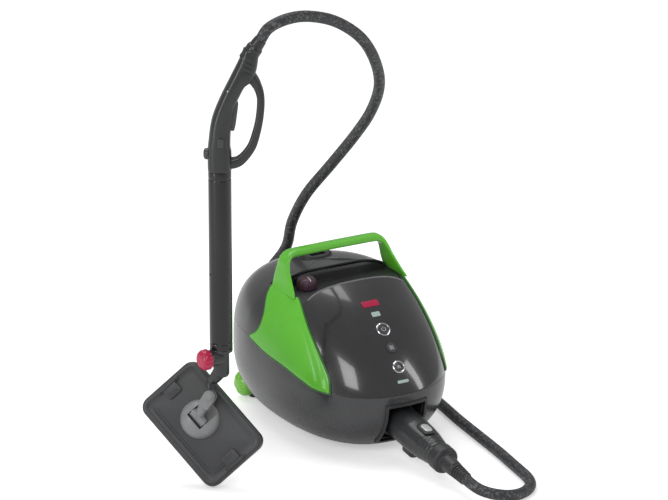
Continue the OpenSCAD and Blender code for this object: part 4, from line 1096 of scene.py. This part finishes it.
@dataclass
class Knob:
    """Steam regulator on the deck."""

    x: float = -62
    y: float = -4
    r: float = 17
    foot: float = 236.5

    def build(self) -> None:
        """A turned knob whose skirt is fluted by cos(16 a) and a raised pointer."""
        profile = soften([[0, 206], [4, 206], [4, self.foot], [self.r, self.foot], [self.r, 245],
                          [self.r - 1.6, 251], [self.r - 6, 254.6], [0, 256]], 1.6, 5)
        lattice = revolve(resample(profile, 90), 160)
        a, radius = polar(lattice)
        flute = 0.8 * (0.5 - 0.5 * np.cos(16 * a))[None] * (radius > self.r - 2.5)
        lattice[..., :2] *= (1 - flute / np.maximum(radius, 1))[..., None]
        place = MACHINE.inner((self.x, self.y, 0))
        Shell(place).add(lattice).piece("regulator", Part.KNOB, PLUM, ("steam_knob",))
        line = np.array([[0, -4, 255.4], [0, -11, 254.4], [0, -14.2, 251.6]])
        Shell(place).add(tube(resample(line, 14), 0.8, 10)).piece("pointer", Part.KNOB, MARK)


# ---------- hose ----------


@dataclass
class Hose:
    """Steam hose, its plug in the nose and its swivel on the gun."""

    diameter: float = 18
    plug_r: float = 27
    plug_l: float = 114

    def route(self) -> Array:
        """The hose's own line, in the machine's frame."""
        down = math.radians(8)
        plug = [[4, -196 - s * math.cos(down), 57 - s * math.sin(down)] for s in (198.9, 213.6)]
        lean, yaw = math.radians(34), math.radians(-30)
        gun = []
        for s in (47.6, 25.9):
            r = 50 + s * math.sin(lean)
            gun.append([-305 + r * math.cos(yaw), -161 + r * math.sin(yaw),
                        716 + s * math.cos(lean)])
        middle = [
            [10, -424, 22], [22, -438, 18], [41, -447, 14], [61, -448, 11], [81, -441, 9],
            [99, -429, 9], [111, -412, 9], [118, -391, 9], [122, -366, 9], [127, -330, 9],
            [134, -280, 9], [142, -205, 9], [150, -130, 9], [160, -60, 9], [168, 10, 9],
            [172, 80, 9], [168, 150, 9], [151, 208, 9], [118, 248, 9], [76, 270, 9],
            [35, 278, 13], [-3, 274, 28], [-27, 264, 56], [-35, 258, 94], [-25, 245, 140],
            [-4, 221, 186], [11, 192, 232], [4, 159, 288], [5, 113, 350], [16, 54, 415],
            [25, -9, 483], [25, -61, 540], [13, -106, 598], [-17, -141, 654], [-57, -166, 703],
            [-110, -181, 741], [-165, -192, 761], [-208, -200, 765]]
        return np.array(plug + middle + gun, float)

    def build(self) -> bpy.types.Object:
        path = resample(smooth_path(self.route(), 6), 330)
        tangent = directions(path)
        normal = np.array([1.0, 0.0, 0.1])
        sides, rows = 20, len(path)
        frames = np.zeros((rows, 2, 3))
        for i, t in enumerate(tangent):
            normal = normal - (normal @ t) * t
            normal /= np.linalg.norm(normal)
            frames[i] = normal, np.cross(t, normal)
        ring = oval(sides)
        lattice = path[:, None] + self.diameter / 2 * (
            ring[None, :, :1] * frames[:, None, 0] + ring[None, :, 1:] * frames[:, None, 1])
        shell = Shell(MACHINE).add(lattice)
        obj = shell.piece("hose_run", Part.CLEANER, HOSE, ("steam_hose",), 60)
        self.wrap_uv(obj.data, path * MM + np.array(MACHINE.origin) * MM, frames)
        return obj

    def wrap_uv(self, mesh: bpy.types.Mesh, path: Array, frames: Array) -> None:
        """Writes u as metres along the hose and v as turns round it, for each corner.

        Args:
            mesh: the hose's mesh.
            path: its line in metres.
            frames: the two cross directions at each point of the line.
        """
        co = read(mesh.vertices, "co", 3)
        near = np.array([np.argmin(((path - p) ** 2).sum(1)) for p in co])
        off = co - path[near]
        angle = np.arctan2((off * frames[near, 1]).sum(1), (off * frames[near, 0]).sum(1)) / TAU
        step = np.linalg.norm(np.diff(path, axis=0), axis=1)
        along = np.concatenate([[0], np.cumsum(step)])[near]
        corner, owner, start = corners(mesh)
        turns = angle[corner] % 1.0
        total = read(mesh.polygons, "loop_total", kind=int)
        top = np.maximum.reduceat(turns, start)[owner]
        turns = np.where((top - turns > 0.5) & (total[owner] == 4), turns + 1.0, turns)
        uv = mesh.uv_layers.new(name="UVMap")
        uv.data.foreach_set("uv", np.stack([along[corner], turns], -1).ravel())

    def plug(self) -> None:
        """Housing, latch, collar and ribbed sleeve in the plug's own frame."""
        r, l = self.plug_r, self.plug_l
        s = np.array([-48, -46, -16.5, -16, -11, 0, 20, 44, 62, 80, 96, 106, 112, 114.0])
        a = np.array([14.7, 15.7, 15.7, r - 3, r, r, r, r, 26.2, 25, 22.6, 21, 19.6, 18.0])
        b = np.array([14.7, 15.7, 15.7, r - 3, r, r, r, r, 26, 25, 22.6, 21, 19.6, 18.0])
        at = np.unique(np.concatenate([s, np.linspace(-9, 111, 70)]))
        ring = oval(96, 2.25)
        wide, tall = np.interp(at, s, a), np.interp(at, s, b)
        groove = 0.7 * np.clip(np.cos((at - 88) * TAU / 6.5), 0, 1) * ((at > 84) & (at < 108))
        lattice = np.stack([ring[None, :, 0] * (wide - groove)[:, None],
                            ring[None, :, 1] * (tall - groove)[:, None],
                            np.broadcast_to(at[:, None], (len(at), 96))], -1)
        round_part = at < -10
        circle = oval(96)
        lattice[round_part, :, :2] = circle[None] * wide[round_part, None, None]
        shell = Shell(PLUG).add(lattice)
        jaw = slab(25, 34, 0, 20, 8, 4, 64)[..., [0, 2, 1]]
        shell.add(jaw + np.array([0, -r - 10, 38]))
        pad = slab(23, 36, 0, 2.4, 9, 1.2, 64)[..., [0, 2, 1]]
        shell.add(pad + np.array([0, 24.6, 72]))
        shell.piece("plug_body", Part.CLEANER, GUN, ("plug_housing",), 44)
        dished = slab(14, 24, 0, 8.5, 6.5, 2.2, 80)
        dished = dished[..., [0, 2, 1]] + np.array([0, 20, 72])
        Shell(PLUG).add(dished).piece("latch_pad", Part.LATCH, SILVER, ("plug_latch",))
        sleeve = soften([[0, l + 0.3], [20, l + 0.3], [22.5, l + 3], [22.5, l + 21],
                         [20.5, l + 24], [14.5, l + 26], [13.4, l + 40], [12.6, l + 52],
                         [10.4, l + 54], [10.0, l + 84.6], [0, l + 84.6]], 1.4, 5)
        shell = Shell(PLUG).add(revolve(resample(sleeve, 160), 72))
        for k in range(5):
            rib = soften([[8, 0], [12.1 - 0.3 * k, 0], [12.1 - 0.3 * k, 3], [8, 3], [8, 0]], 1.2)
            shell.add(revolve(rib + np.array([0, l + 56 + 6 * k]), 72))
        shell.piece("sleeve", Part.CLEANER, SLEEVE, ("hose_sleeve",))

    def swivel(self) -> None:
        """Collar with ridges where the hose leaves the gun."""
        profile = soften([[0, -14], [13, -14], [13, -2], [12.3, -1.5], [13, -1], [13, 3],
                          [12.3, 3.5], [13, 4], [13, 9], [12, 12], [11, 12.4], [9.9, 25.6],
                          [0, 25.6]], 0.5, 4)
        Shell(SWIVEL).add(revolve(resample(profile, 120), 72)).piece(
            "swivel_collar", Part.CLEANER, GUN, ("hose_swivel",))


# ---------- wand ----------


@dataclass
class Gun:
    """Steam gun: lofted body, hand guard, trigger, lock and release button."""

    half: float = 17.5

    @staticmethod
    def loft(left: Array, right: Array, deep: Array, sides: int = 72, n: float = 2.5) -> Array:
        """Superellipse sections between a left and a right edge line.

        Args:
            left: rows of (x, z) along the left edge.
            right: the same number of rows along the right edge.
            deep: half depth of each row across the gun's plane.
            sides: points around.
            n: exponent of the section.

        Returns:
            A lattice; a parting groove 0.4 mm deep runs along both edges.
        """
        middle, half = (left + right) / 2, (right - left) / 2
        ring = oval(sides, n)
        y = ring[None, :, 1] * deep[:, None]
        groove = 1 - 0.4 * np.exp(-((y / 0.9) ** 2)) / np.linalg.norm(half, axis=1)[:, None]
        x = middle[:, None, 0] + ring[None, :, 0] * groove * half[:, None, 0]
        z = middle[:, None, 1] + ring[None, :, 0] * groove * half[:, None, 1]
        return np.stack([x, y, z], axis=-1)

    def build(self) -> None:
        """Makes every piece of the gun."""
        self.body()
        self.trigger()
        self.lock()
        profile = soften([[0, 16.5], [9, 16.5], [9, 21.5], [7.5, 23.8], [4, 25], [0, 25]], 1.4, 5)
        seat = WAND.inner((0, 0, 553), turn("y", -90))
        Shell(seat).add(revolve(resample(profile, 60), 64)).piece(
            "release_cap", Part.RELEASE, BUTTON, ("release_button",))

    def body(self) -> None:
        """The two shells as one lofted form with its guard loop."""
        left = smooth_path([[-17.9, 526], [-18.5, 530], [-18.5, 558], [-17, 575], [-14, 599],
                            [-9, 619], [2, 646], [16, 675], [31, 706], [38, 724]], 12)
        right = smooth_path([[17.9, 526], [18.5, 530], [18.5, 556], [17, 566], [18, 591],
                             [21, 608], [23, 627], [31, 645], [40, 662], [52, 672], [58, 690],
                             [61, 710]], 12)
        rows = 120
        left, right = resample(left, rows), resample(right, rows)
        t = np.linspace(0, 1, rows)
        deep = self.half * np.interp(t, [0, 0.02, 0.3, 0.5, 0.8, 1], [0.95, 1, 1, 0.97, 0.9, 0.74])
        ridge = 0.5 * np.clip(np.cos((t - 0.9) * TAU * 26), 0, 1) * (np.abs(t - 0.91) < 0.055)
        lattice = self.loft(left, right, deep - ridge)
        shell = Shell(WAND).add(lattice)
        middle = smooth_path([[10, 537], [22, 538.5], [31, 542], [41, 552], [50.5, 567],
                              [57.5, 589.5], [62, 612], [64, 636], [62.6, 651], [58, 664],
                              [51, 675], [41, 683]], 10)
        spine = np.stack([middle[:, 0], np.zeros(len(middle)), middle[:, 1]], -1)
        k = np.linspace(0, 1, len(spine))
        wide = np.interp(k, [0, 0.1, 0.25, 0.5, 0.68, 0.8, 0.9, 1], [9, 9, 7.6, 6.3, 6, 7, 9, 12])
        deep = np.interp(k, [0, 0.2, 0.8, 1], [8, 6.2, 6.2, 9])
        loop = sweep(spine, np.stack([wide, deep], -1), np.array([0.0, 1.0, 0.0]), 2.8, 40)
        shell.add(loop)
        shell.piece("gun_body", Part.CLEANER, GUN, ("gun_shell_left", "gun_shell_right"), 44)

    def trigger(self) -> None:
        """Curved trigger, deeper in the middle where the fingers sit."""
        left = resample(np.array([[14.6, 592], [14, 610], [13.5, 634], [16, 641]], float), 40)
        right = resample(smooth_path([[23, 591], [25.2, 600], [27.2, 614], [29, 628], [29.2, 636],
                                      [25, 641]], 8), 40)
        deep = np.full(40, 5.5) * np.interp(np.linspace(0, 1, 40), [0, 0.06, 0.95, 1],
                                            [0.8, 1, 1, 0.8])
        Shell(WAND).add(self.loft(left, right, deep, 48, 3.0)).piece(
            "trigger_blade", Part.TRIGGER, BUTTON, ("gun_trigger",))

    def lock(self) -> None:
        """Sliding child lock on the gun's side: a small slab with three ridges."""
        place = WAND.inner((2, -self.half - 0.3, 576), turn("x", 90))
        shell = Shell(place).add(slab(9, 14, 0, 2.2, 3, 0.8, 64))
        for k in (-3.0, 0.0, 3.0):
            line = np.array([[-3, k, 2.2], [3, k, 2.2]])
            shell.add(tube(resample(line, 6), 0.45, 8))
        shell.piece("lock_slider", Part.LOCK, BUTTON, ("gun_lock",))


@dataclass
class Wand:
    """Extension tube, connector and scent dispenser."""

    radius: float = 18
    low: float = 233
    high: float = 526

    def build(self) -> None:
        """Makes the tube with its rolled lower collar and the connector's pieces."""
        r, lo, hi = self.radius, self.low, self.high
        profile = soften([[r - 2, lo], [r, lo], [r, lo + 9], [r - 0.5, lo + 10], [r - 0.5, lo + 11],
                          [r, lo + 12], [r, hi - 14], [r - 0.5, hi - 13], [r - 0.5, hi - 12],
                          [r, hi - 11], [r, hi - 0.3], [15, hi - 0.3], [15, 559.5], [13, 559.5],
                          [13, hi - 4], [r - 2, hi - 8], [r - 2, lo]], 0.6, 3)
        shell = Shell(WAND).add(revolve(profile, 96))
        stud = soften([[0, 17], [2.6, 17], [2.6, 18.3], [1.8, 18.8], [0, 18.9]], 0.5)
        shell.add(revolve(stud, 32),
                  WAND.inner((0, 0, 357), turn("z", 25) @ turn("y", -90)))
        shell.piece("tube", Part.CLEANER, TUBE, ("extension_tube",))
        self.connector()
        self.cap()

    def connector(self) -> None:
        """Sleeve, dispenser body and an elbow that runs down to the swing pivot."""
        shell = Shell(WAND)
        sleeve = soften([[0, 186], [10.5, 186], [12.5, 190], [12.5, 226], [14, 227.7], [18, 227.7],
                         [18, 232.7], [15.8, 232.7], [15.8, 240], [0, 240]], 1.0, 4)
        shell.add(revolve(resample(sleeve, 90), 72))
        body = soften([[0, 0], [13.5, 0], [13.5, 19], [13.0, 19.6], [13.0, 20.4], [13.5, 21],
                       [13.5, 24], [0, 24]], 0.8, 4)
        shell.add(revolve(resample(body, 50), 72), DISPENSER)
        eye = BRUSH.inner(SWING_AT)
        a = np.array(WAND.out(np.array([-2.0, 0, 193]))) / MM
        b = eye.out(np.array([-15.98, 16.55, 0])) / MM
        c = eye.out(np.array([0.0, 0.0, 0])) / MM
        path = smooth_path([a, (a + b) / 2 * [1, 1, 0.995], b, (b + c) / 2], 12)
        ring = tube(path, 1.0, 32) - path[:, None]
        size = np.interp(np.linspace(0, 1, len(path)), [0, 0.35, 0.7, 1], [11, 9.5, 6.8, 5.9])
        shell.add(path[:, None] + ring * size[:, None, None], Place())
        plate = slab(18, 18, -5.9, 5.9, 8.9, 1.2, 72)
        shell.add(plate, eye)
        shell.piece("connector_body", Part.CLEANER, GUN, ("brush_connector",), 44)

    def cap(self) -> None:
        """Crimson cap, its edge dipped by eight finger hollows."""
        profile = soften([[0, 24.3], [16.5, 24.3], [16.5, 33.3], [14.5, 37.3], [10.5, 39.8],
                          [5, 40.3], [0, 40.0]], 1.6, 5)
        lattice = revolve(resample(profile, 80), 160)
        a, radius = polar(lattice)
        dip = 1.3 * np.clip(np.cos(8 * a), 0, 1)[None] ** 2 * np.clip((radius - 11) / 4, 0, 1)
        lattice[..., :2] *= (1 - dip / np.maximum(radius, 1))[..., None]
        Shell(DISPENSER).add(lattice).piece("scent_knob", Part.SCENT_CAP, CRIMSON,
                                            ("dispenser_cap",))


@dataclass
class Brush:
    """Floor brush: crowned shell, dome, neck, sole, bristle tufts and cloth clips."""

    length: float = 178
    width: float = 118
    height: float = 22
    corner: float = 18

    def build(self) -> None:
        """Makes every piece of the brush."""
        self.shell()
        self.dome()
        self.neck()
        self.under()
        for side, word, body in ((-1, "left", Part.CLIP_LEFT), (1, "right", Part.CLIP_RIGHT)):
            self.clip(side, word, body)

    def shell(self) -> None:
        """Slab with a rolled rim: rows of outlines; the top rises to a soft shoulder."""
        low = -self.height
        steps = [(1.6, low), (0.5, low + 0.4), (0.0, -8), (0.6, -4), (1.8, -1.6), (3.6, -0.4),
                 (6, 0.0), (8.5, -0.3), (9.6, -1.0), (11, -1.3), (18, -1.1), (30, -0.5),
                 (45, -0.2)]
        rows = [np.column_stack([outline(self.length - 2 * i, self.width - 2 * i,
                                         max(self.corner - i, 3.0), 160), np.full(160, z)])
                for i, z in steps]
        Shell(BRUSH).add(np.array(rows)).piece("brush_top", Part.BRUSH, BRUSH_GREY,
                                               ("brush_shell",), 50)
        pins = Shell(BRUSH)
        for side in (-1, 1):
            bar = soften([[0, -19], [1.5, -19], [1.5, 19], [0, 19]], 0.3)
            pins.add(revolve(bar, 20), BRUSH.inner((side * 81, 0, 3), turn("x", 90)))
            for y in (-18, 18):
                lug = slab(5, 3, -1, 5.4, 1.2, 0.6, 32)
                pins.add(lug + np.array([side * 81, y, 0]))
        pins.piece("clip_posts", Part.BRUSH, BRUSH_GREY)
        swage = Shell(BRUSH)
        for inset, r in ((16.0, 0.8), (20.5, 0.6)):
            loop = outline(self.length - 2 * inset, self.width - 2 * inset, 12, 160)
            arc = np.column_stack([loop, np.full(160, -0.9)])[84:150]
            swage.add(tube(arc, r, 8))
        swage.piece("brush_beads", Part.BRUSH, BRUSH_GREY)

    def dome(self) -> None:
        """Ball of the joint on a square grid: z = h sqrt(1 - (r/R)^2), cut for the neck."""
        x = np.linspace(-40, 24, 129)
        y = np.linspace(-29, 35, 129)
        gx, gy = np.meshgrid(x, y)
        r2 = ((gx + 8) ** 2 + (gy - 3) ** 2) / 31.0**2
        z = np.where(r2 < 1, 22.0 * np.sqrt(np.clip(1 - r2, 0, 1)), -0.8)
        slot = (gx > -25.2) & (gx < 5.2) & (gy > -4.8)
        z = np.where(slot, np.minimum(z, 0.2), z)
        top = np.stack([gx, gy, z], -1)
        bottom = np.stack([gx, gy, np.full_like(gx, -1.6)], -1)
        Shell(BRUSH).sheet(top, bottom).piece("joint_dome", Part.BRUSH, NECK_GREY, (), 40)
        bar = soften([[0, -20], [3, -20], [3, 20], [0, 20]], 0.3)
        Shell(BRUSH.inner(TILT_AT, turn("y", 90))).add(revolve(bar, 32)).piece(
            "tilt_pin", Part.BRUSH, STEEL)

    def neck(self) -> None:
        """Fork round the connector's eye, and an arch down to the barrel in the dome."""
        eye = BRUSH.inner(SWING_AT)
        fork = eye.inner((0, 0, 0), turn("z", -72))
        shell = Shell(BRUSH)
        for low in (-11.0, 6.3):
            cheek = slab(29, 19, low, low + 4.7, 9.4, 1.0, 96)
            shell.add(cheek + np.array([5, 0, 0]), fork)
        back = slab(9.6, 18, -11.4, 11.4, 3.5, 1.6, 64)
        shell.add(back + np.array([15.8, 0, 0]), fork)
        for r, lo, hi in ((6.5, 10.5, 14.6), (4.2, 14, 15.4)):
            profile = soften([[0, lo], [r, lo], [r, hi], [0, hi]], 0.8, 4)
            shell.add(revolve(profile, 48), eye)
        pin = soften([[0, -10.5], [3, -10.5], [3, 10.5], [0, 10.5]], 0.3)
        shell.add(revolve(pin, 32), eye)
        path = smooth_path([[-17, 27, 25.5], [-16.4, 22, 25.2], [-14, 15, 20.5], [-10.6, 6, 12.6]],
                           10)
        ring = tube(path, 1.0, 32) - path[:, None]
        size = np.interp(np.linspace(0, 1, len(path)), [0, 0.4, 1], [8.2, 7.4, 6.5])
        shell.add(path[:, None] + ring * size[:, None, None])
        barrel = soften([[3.05, -14], [7.5, -14], [7.5, 14], [3.05, 14], [3.05, -14]], 1.0, 4)
        shell.add(revolve(barrel, 64), BRUSH.inner(TILT_AT, turn("y", 90)))
        shell.piece("neck_arch", Part.NECK, NECK_GREY, ("brush_neck",), 44)

    def under(self) -> None:
        """Sole plate and rows of bristle tufts."""
        sole = slab(self.length - 6.6, self.width - 6.6, -self.height, 3 - self.height, 14.6,
                    0.8, 96)
        Shell(BRUSH).add(sole).piece("sole_plate", Part.BRUSH, INNER, ("brush_sole",))
        tufts = Shell(BRUSH)
        spots = [(x, s * (self.width / 2 - 12 + o)) for x in np.arange(-63, 64, 7.0)
                 for s in (-1, 1) for o in (-2, 2)]
        spots += [(s * (self.length / 2 - 14 + o), y) for y in np.arange(-36, 37, 7.0)
                  for s in (-1, 1) for o in (-2, 2)]
        tuft = np.array([[0, -29], [1.9, -28.8], [1.4, -22.2], [0, -22.2]])
        for k, (x, y) in enumerate(spots):
            tufts.add(revolve(tuft, 6) + np.array([x, y, 0.12 * (k % 3)]))
        tufts.piece("bristle_tufts", Part.BRUSH, BRISTLE, ("brush_bristles",))

    def clip(self, side: int, word: str, body: Part) -> None:
        """Sprung lever that holds the cleaning cloth, with three grip ribs."""
        place = BRUSH.inner((side * 81, 0, 3))
        shell = Shell(place)
        plate = slab(20, 26, -2.2, 0.8, 4, 1.0, 64)
        shell.add(plate - np.array([side * 10, 0, 0]))
        roll = soften([[1.6, -16], [2.6, -16], [2.6, 16], [1.6, 16], [1.6, -16]], 0.4)
        shell.add(revolve(roll, 32), place.inner((0, 0, 0), turn("x", 90)))
        for k in range(3):
            line = np.array([[-side * (12 + 2.5 * k), -9, 0.8], [-side * (12 + 2.5 * k), 9, 0.8]])
            shell.add(tube(resample(line, 8), 0.5, 8))
        shell.piece(f"clip_lever_{word}", body, BRUSH_GREY, (f"cloth_clip_{word}",))


# ---------- what stays CAD ----------


class Carried:
    """CAD nodes whose own shape is right: smooth copies outside, plain nodes inside."""

    OUTSIDE = {
        "hose_socket": ("cleaner", TRAY_DARK), "socket_frame": ("cleaner", TRAY_DARK),
        "cord_gland": ("cleaner", SLEEVE), "rear_axle": ("cleaner", STEEL),
    }
    INSIDE = {
        "chassis": INNER, "boiler_lower": CAST, "boiler_upper": CAST, "boiler_bolts": STEEL,
        "heating_element": STEEL, "water_tank": TANK, "pump_body": INNER, "pump_plunger": STEEL,
        "steam_valves": BRASS, "safety_valve": BRASS, "boiler_sensors": INNER,
        "steam_pipes": BRASS, "control_board": BOARD, "screws": STEEL, "gun_switch": INNER,
        "filler_plug": INNER, "filler_cap": TRAY_DARK,
        "caster_fork": INNER, "caster_wheel": TYRE,
    }

    def build(self) -> None:
        """Copies the outer nodes and gives the inner ones their finish."""
        for node, (body, finish) in self.OUTSIDE.items():
            smooth_copy(node, body, finish)
        for node, finish in self.INSIDE.items():
            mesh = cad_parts[node].data
            mesh.materials.clear()
            mesh.materials.append(finish.material())


# ---------- stage ----------


@dataclass
class Studio:
    """Camera, soft lights and pale floor.

    The aim is a point offset from the machine's origin, across and up in the view;
    frame_width is the millimetres that the frame spans there.
    """

    azimuth: float = -30
    elevation: float = 20
    distance: float = 8.0
    frame_width: float = 1092.18
    aim_right: float = -7.3575
    aim_up: float = 271.41

    def camera(self) -> None:
        """Long lens at the viewing angle, aimed between the machine and the wand."""
        a, e = math.radians(self.azimuth), math.radians(self.elevation)
        back = Vector((math.sin(a) * math.cos(e), -math.cos(a) * math.cos(e), math.sin(e)))
        right = Vector((math.cos(a), math.sin(a), 0))
        up = Vector((-math.sin(a) * math.sin(e), math.cos(a) * math.sin(e), math.cos(e)))
        aim = Vector(MACHINE.origin) * MM
        aim += right * self.aim_right * MM + up * self.aim_up * MM
        data = bpy.data.cameras.new("camera")
        data.lens = data.sensor_width * self.distance / (self.frame_width * MM)
        data.clip_end = FAR_CLIP
        camera = bpy.data.objects.new("camera", data)
        camera.location = aim + back * self.distance
        camera.rotation_euler = (camera.location - aim).to_track_quat("Z", "Y").to_euler()
        bpy.context.scene.collection.objects.link(camera)
        bpy.context.scene.camera = camera

    def light(self, name: str, at: Sequence[float], size: Sequence[float], power: float) -> None:
        """A soft rectangular light at a point, turned to the machine."""
        data = bpy.data.lights.new(name, "AREA")
        data.shape = "RECTANGLE"
        data.size, data.size_y = size
        data.energy = power
        lamp = bpy.data.objects.new(name, data)
        lamp.location = at
        aim = Vector((0, 0, 0.3))
        lamp.rotation_euler = (Vector(at) - aim).to_track_quat("Z", "Y").to_euler()
        bpy.context.scene.collection.objects.link(lamp)

    def build(self) -> None:
        """Makes the lights, the sky and the floor."""
        self.light("key", (-2.2, -2.2, 2.4), (1.2, 1.8), 34)
        self.light("strip_right", (2.2, -1.9, 1.3), (0.4, 2.2), 16)
        self.light("strip_left", (-2.7, -0.4, 1.0), (0.5, 2.2), 20)
        self.light("top", (0.1, 0.9, 3.0), (2.4, 1.6), 40)
        world = bpy.data.worlds.new("studio")
        bpy.context.scene.world = world
        world.use_nodes = True
        n = Nodes(world.node_tree)
        seen = n.add("ShaderNodeLightPath").outputs["Is Camera Ray"]
        sky = world.node_tree.nodes["Background"]
        sky.inputs[0].default_value = (1, 1, 1, 1)
        n.link(n.math("ADD", 0.36, n.math("MULTIPLY", seen, 0.64)), sky.inputs[1])
        mesh = bpy.data.meshes.new("floor")
        r = FLOOR_REACH
        mesh.from_pydata([(-r, -r, 0), (r, -r, 0), (r, r, 0), (-r, r, 0)], [], [(0, 1, 2, 3)])
        floor = bpy.data.objects.new("floor", mesh)
        bpy.context.scene.collection.objects.link(floor)
        made = bpy.data.materials.new("pale floor")
        made.use_nodes = True
        shader = made.node_tree.nodes["Principled BSDF"]
        shader.inputs["Base Color"].default_value = (0.93, 0.93, 0.93, 1)
        shader.inputs["Roughness"].default_value = 0.85
        shader.inputs["Emission Color"].default_value = (1, 1, 1, 1)
        n = Nodes(made.node_tree)
        seen = n.add("ShaderNodeLightPath").outputs["Is Camera Ray"]
        n.link(n.math("ADD", 0.08, n.math("MULTIPLY", seen, 0.36)),
               shader.inputs["Emission Strength"])
        mesh.materials.append(made)
        view = bpy.context.scene.view_settings
        view.view_transform = "Standard"
        view.exposure = 0.0


def main() -> None:
    """Builds the cleaner in order."""
    logging.basicConfig(level=logging.INFO, format="%(name)s: %(message)s")
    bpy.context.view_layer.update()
    studio = Studio()
    studio.camera()
    hose = Hose()
    hose.build()
    hose.plug()
    hose.swivel()
    for part in (Body(), Panel(), Wheels(), Knob(), Gun(), Wand(), Brush(), Carried(), studio):
        LOG.info("building %s", type(part).__name__)
        part.build()


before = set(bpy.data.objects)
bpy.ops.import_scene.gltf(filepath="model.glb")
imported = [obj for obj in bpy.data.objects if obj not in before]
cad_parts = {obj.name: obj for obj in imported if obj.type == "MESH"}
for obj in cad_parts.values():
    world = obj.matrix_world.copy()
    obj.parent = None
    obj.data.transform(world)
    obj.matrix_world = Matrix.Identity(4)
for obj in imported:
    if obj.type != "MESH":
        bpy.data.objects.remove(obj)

if __name__ == "__main__":
    main()
